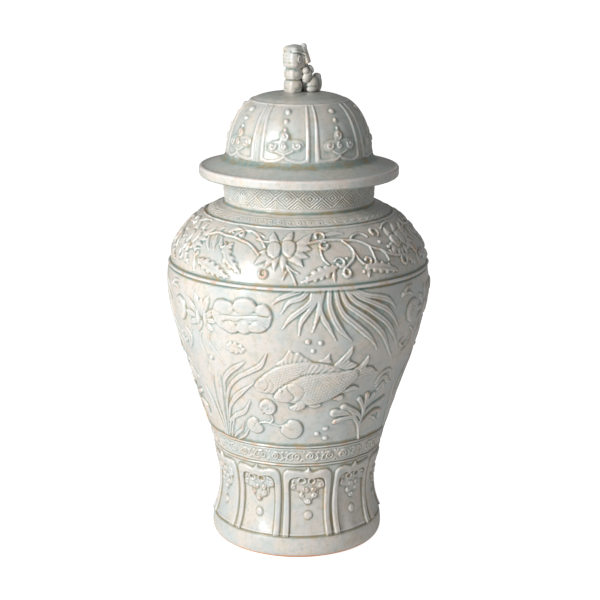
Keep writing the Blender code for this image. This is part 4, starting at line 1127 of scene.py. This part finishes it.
def build_flange(clay_material):
    """The bare locating ring under the lid."""
    outer, inner = NECK_RADIUS - WALL - 3, NECK_RADIUS - WALL - 9
    line = [(inner, RIM), (inner, RIM - 17.4), (inner + 1.2, RIM - 18.5), (outer - 1.6, RIM - 18.5),
            (outer, RIM - 16.8), (outer - 0.1, RIM)]
    turned_piece("locating_ring", rounded(line, 1.0, 4), 256, True, clay_material, "lid", ["lid_flange"])


# ---------------------------------------------------------------- lion


def build_lion(glaze):
    """A small seated lion: blocky head turned to the front, brow like a cap, hanging ear, upright tail."""
    bm = bmesh.new()

    def lump(base, kind, centre, half, soft=0.0, tilt=(0, 0, 0)):
        spot = base @ Matrix.Translation(Vector(centre)) @ Matrix.Rotation(math.radians(tilt[2]), 4, "Z") \
            @ Matrix.Rotation(math.radians(tilt[1]), 4, "Y") @ Matrix.Rotation(math.radians(tilt[0]), 4, "X")
        if kind == "ball":
            bmesh.ops.create_uvsphere(bm, u_segments=28, v_segments=18, radius=1.0,
                matrix=spot @ Matrix.Diagonal((*half, 1.0)))
            return
        verts = bmesh.ops.create_cube(bm, size=2.0)["verts"]
        bmesh.ops.scale(bm, vec=half, verts=verts)
        edges = list({e for v in verts for e in v.link_edges})
        out = bmesh.ops.bevel(bm, geom=edges, affect="EDGES", offset=soft, segments=6, profile=0.5, material=-1)
        bmesh.ops.transform(bm, matrix=spot, verts=list({v for f in out["faces"] for v in f.verts}))

    body = Matrix.Translation((-1.8, 1.5, LION_SEAT)) @ Matrix.Rotation(math.radians(32), 4, "Z")
    head = Matrix.Translation((-6.6, -4.0, LION_SEAT + 41.6)) @ Matrix.Rotation(math.radians(44), 4, "Z")
    for part in (("block", (0, 0, 0), (10.0, 11.4, 13.0), 4.8), ("block", (-2.4, 0, -2.4), (9.2, 10.6, 10.4),
            4.8), ("ball", (1.0, 0, 8.0), (10.8, 11.8, 6.6)), ("ball", (7.4, -8.2, 12.4), (4.0, 3.8, 3.8)),
            ("ball", (7.4, 8.2, 9.0), (3.6, 3.6, 3.6)), ("block", (8.4, -11.4, 2.6), (3.8, 2.2, 10.4), 2.0,
            (-12, -14, 0)), ("block", (8.4, 11.4, 2.6), (3.8, 2.2, 10.4), 2.0, (12, -14, 0)),
            ("ball", (6.0, -9.0, 1.0), (6.0, 3.6, 9.8)), ("ball", (6.0, 9.0, 1.0), (6.0, 3.6, 9.8)),
            ("ball", (-2.6, -10.2, -1.6), (4.4, 2.2, 5.6)), ("ball", (-2.6, 10.2, -1.6), (4.4, 2.2, 5.6)),
            ("ball", (0, 0, -11.0), (8.8, 10.0, 5.0)), ("ball", (-9.4, 0, -1.0), (3.4, 9.4, 9.4))):
        lump(head, *part)
    for part in (("ball", (-5.6, 0, 27.0), (9.6, 10.2, 8.0)), ("ball", (-6.8, 0, 21.6), (10.0, 11.2, 8.0)),
            ("block", (-7.0, 0, 21.0), (8.6, 10.0, 7.0), 4.6), ("block", (-7.6, 0, 6.8), (8.6, 10.6, 9.0), 5.6),
            ("ball", (-7.0, 0, 8.2), (10.4, 12.2, 8.6)), ("ball", (-6.8, 0, 15.4), (8.6, 10.0, 5.0)),
            ("ball", (4.4, -9.8, 25.4), (4.4, 4.0, 4.4)), ("ball", (4.4, 9.8, 25.4), (4.4, 4.0, 4.4)),
            ("ball", (6.8, -8.8, 18.6), (6.0, 5.0, 8.4), 0, (0, 26, 0)),
            ("ball", (6.8, 8.8, 18.6), (6.0, 5.0, 8.4), 0, (0, 26, 0)), ("ball", (15.0, -8.0, 9.6),
            (8.0, 6.0, 9.0)), ("ball", (15.0, 8.0, 9.6), (8.0, 6.0, 9.0)), ("ball", (12.4, -11.0, 3.4),
            (6.8, 4.6, 4.0)), ("ball", (12.4, 11.0, 3.4), (6.8, 4.6, 4.0)),
            ("ball", (9.0, 0, 18.6), (9.6, 9.6, 15.4), 0, (0, -14, 0)),
            ("ball", (15.0, 0, 8.6), (9.6, 10.0, 9.6)), ("ball", (13.6, -6.8, 26.8), (3.0, 3.6, 5.8), 0,
            (0, -30, 0)), ("ball", (12.2, 0.6, 28.0), (3.4, 4.2, 6.0), 0, (0, -30, 0)),
            ("ball", (13.2, 7.8, 26.4), (3.0, 3.6, 5.8), 0, (0, -30, 0)), ("block", (24.4, -3.0, 10.0),
            (4.0, 5.8, 11.4), 3.9, (0, 2, 0)), ("ball", (26.0, -3.0, 9.0), (4.6, 6.0, 10.4)),
            ("ball", (21.6, -3.0, 4.4), (7.0, 6.6, 5.6))):
        lump(body, *part)
    bmesh.ops.scale(bm, vec=(MM, MM, MM), verts=bm.verts)
    rough = bpy.data.meshes.new("lion_lumps")
    bm.to_mesh(rough)
    bm.free()
    lumps = bpy.data.objects.new("lion_lumps", rough)
    bpy.context.scene.collection.objects.link(lumps)
    remesh = lumps.modifiers.new("clay", "REMESH")
    remesh.mode, remesh.voxel_size = "VOXEL", 0.42 * MM
    soft = lumps.modifiers.new("wet_finger", "SMOOTH")
    soft.factor, soft.iterations = 0.5, 22
    mesh = bpy.data.meshes.new_from_object(lumps.evaluated_get(bpy.context.evaluated_depsgraph_get()))
    mesh.name = "lion"
    bpy.data.objects.remove(lumps)
    bpy.data.meshes.remove(rough)

    count = len(mesh.vertices)
    at, facing = np.empty(count * 3, np.float32), np.empty(count * 3, np.float32)
    mesh.vertices.foreach_get("co", at)
    mesh.vertices.foreach_get("normal", facing)
    at, facing = at.reshape(-1, 3).astype(float), facing.reshape(-1, 3)
    pairs = np.empty(len(mesh.edges) * 2, np.int32)
    mesh.edges.foreach_get("vertices", pairs)
    pairs = pairs.reshape(-1, 2)

    def own(base):
        back = np.array(base.inverted())
        return (at / MM @ back[:3, :3].T + back[:3, 3]).T

    def step(value, low, high):
        return np.clip((value - low) / (high - low), 0, 1)

    # tooled lines: faint ribs across the muzzle, eye holes with a rim, brows, the joint of the chest and the tail
    x, y, z = own(head)
    on_head = step(z, -15.5, -12)
    muzzle = step(-x, 6, 9) * on_head * step(-z, -11, -8)
    lift = 0.10 * muzzle * np.cos(z * math.tau / 4.2)
    for side in (-1, 1):
        away = np.hypot((x + 2.2) / 1.3, (z + 1.8) / 2.6)
        near = step(side * y, 8.5, 11) * on_head
        lift -= 4.0 * near * np.clip(1 - away ** 2, 0, 1)
        lift += 0.7 * near * np.exp(-((away - 1.5) / 0.4) ** 2)
        brow = np.exp(-((z - 7.4 + 0.02 * (x + 8) ** 2) / 1.1) ** 2) * step(side * y, 6.5, 9) * step(-x, -9, -6)
        lift += 0.9 * brow - 0.5 * np.exp(-((z - 5.2 + 0.02 * (x + 8) ** 2) / 0.9) ** 2) * step(side * y, 6.5,
            9) * step(-x, -7, -4)
    x, y, z = own(body)
    lift -= 0.5 * np.exp(-((z - 14.8) / 0.9) ** 2) * step(-x, -4, 0)
    lift -= 0.5 * np.exp(-(y + 3.6) ** 2 / 0.8) * step(x, 26, 28)
    at += facing * (lift * MM)[:, None]
    smooth = at.copy()
    for _ in range(12):
        total, share = np.zeros((count, 3)), np.zeros(count)
        for a, b in ((0, 1), (1, 0)):
            for axis in range(3):
                total[:, axis] += np.bincount(pairs[:, a], smooth[pairs[:, b], axis], count)
            share += np.bincount(pairs[:, a], minlength=count)
        smooth = total / share[:, None]
    bulge = ((at - smooth) * facing).sum(1) / MM
    mesh.vertices.foreach_set("co", at.astype(np.float32).ravel())
    for label, data in (("hollow", np.clip(-bulge * 7, 0, 1.7) + 0.15), ("crest", np.clip(bulge * 4 - 0.15, 0, 0.9))):
        layer = mesh.attributes.new(label, "FLOAT", "POINT")
        layer.data.foreach_set("value", data.astype(np.float32))
    finish_piece(mesh, glaze, "lid", ["lion_finial"])


# ---------------------------------------------------------------- studio


def build_studio():
    bm = bmesh.new()
    bmesh.ops.create_circle(bm, cap_ends=True, segments=96, radius=14.0)
    mesh = bpy.data.meshes.new("studio_floor")
    bm.to_mesh(mesh)
    bm.free()
    mesh.materials.append(studio_floor())
    floor = bpy.data.objects.new("studio_floor", mesh)
    bpy.context.scene.collection.objects.link(floor)

    world = bpy.data.worlds.new("soft_room")
    bpy.context.scene.world = world
    world.use_nodes = True
    world.node_tree.nodes["Background"].inputs["Color"].default_value = linear("#FFFFFF")
    world.node_tree.nodes["Background"].inputs["Strength"].default_value = 0.20

    target = Vector((0, 0, 0.32))
    for name, azimuth, distance, height, width, tall, power in (
            ("key_softbox", -45, 1.9, 0.9, 0.5, 1.2, 35.0),
            ("high_softbox", -30, 2.2, 2.0, 1.2, 1.2, 10.0)):
        light = bpy.data.lights.new(name, "AREA")
        light.shape = "RECTANGLE"
        light.size, light.size_y, light.energy = width, tall, power
        lamp = bpy.data.objects.new(name, light)
        a = math.radians(azimuth)
        lamp.location = (distance * math.sin(a), -distance * math.cos(a), height)
        lamp.rotation_euler = (target - lamp.location).to_track_quat("-Z", "Y").to_euler()
        bpy.context.scene.collection.objects.link(lamp)

    camera = bpy.data.cameras.new("camera")
    camera.lens, camera.sensor_width = CAMERA_LENS, CAMERA_SENSOR
    camera.shift_x = CAMERA_SHIFT
    camera.clip_start, camera.clip_end = 0.1, 60.0
    view = bpy.data.objects.new("camera", camera)
    bpy.context.scene.collection.objects.link(view)
    view.matrix_world = (Matrix.Translation((0.0, -CAMERA_BACK, CAMERA_UP))
                         @ Matrix.Rotation(math.radians(90 - CAMERA_DIP), 4, "X")
                         @ Matrix.Rotation(math.radians(CAMERA_ROLL), 4, "Z"))
    bpy.context.scene.camera = view
    bpy.context.scene.view_settings.view_transform = "Standard"


def main():
    glaze, clay_material = celadon_glaze(), bare_stoneware()
    build_studio()
    build_foot(glaze)
    build_wall(glaze)
    build_lid(glaze)
    build_flange(clay_material)
    build_lion(glaze)


main()
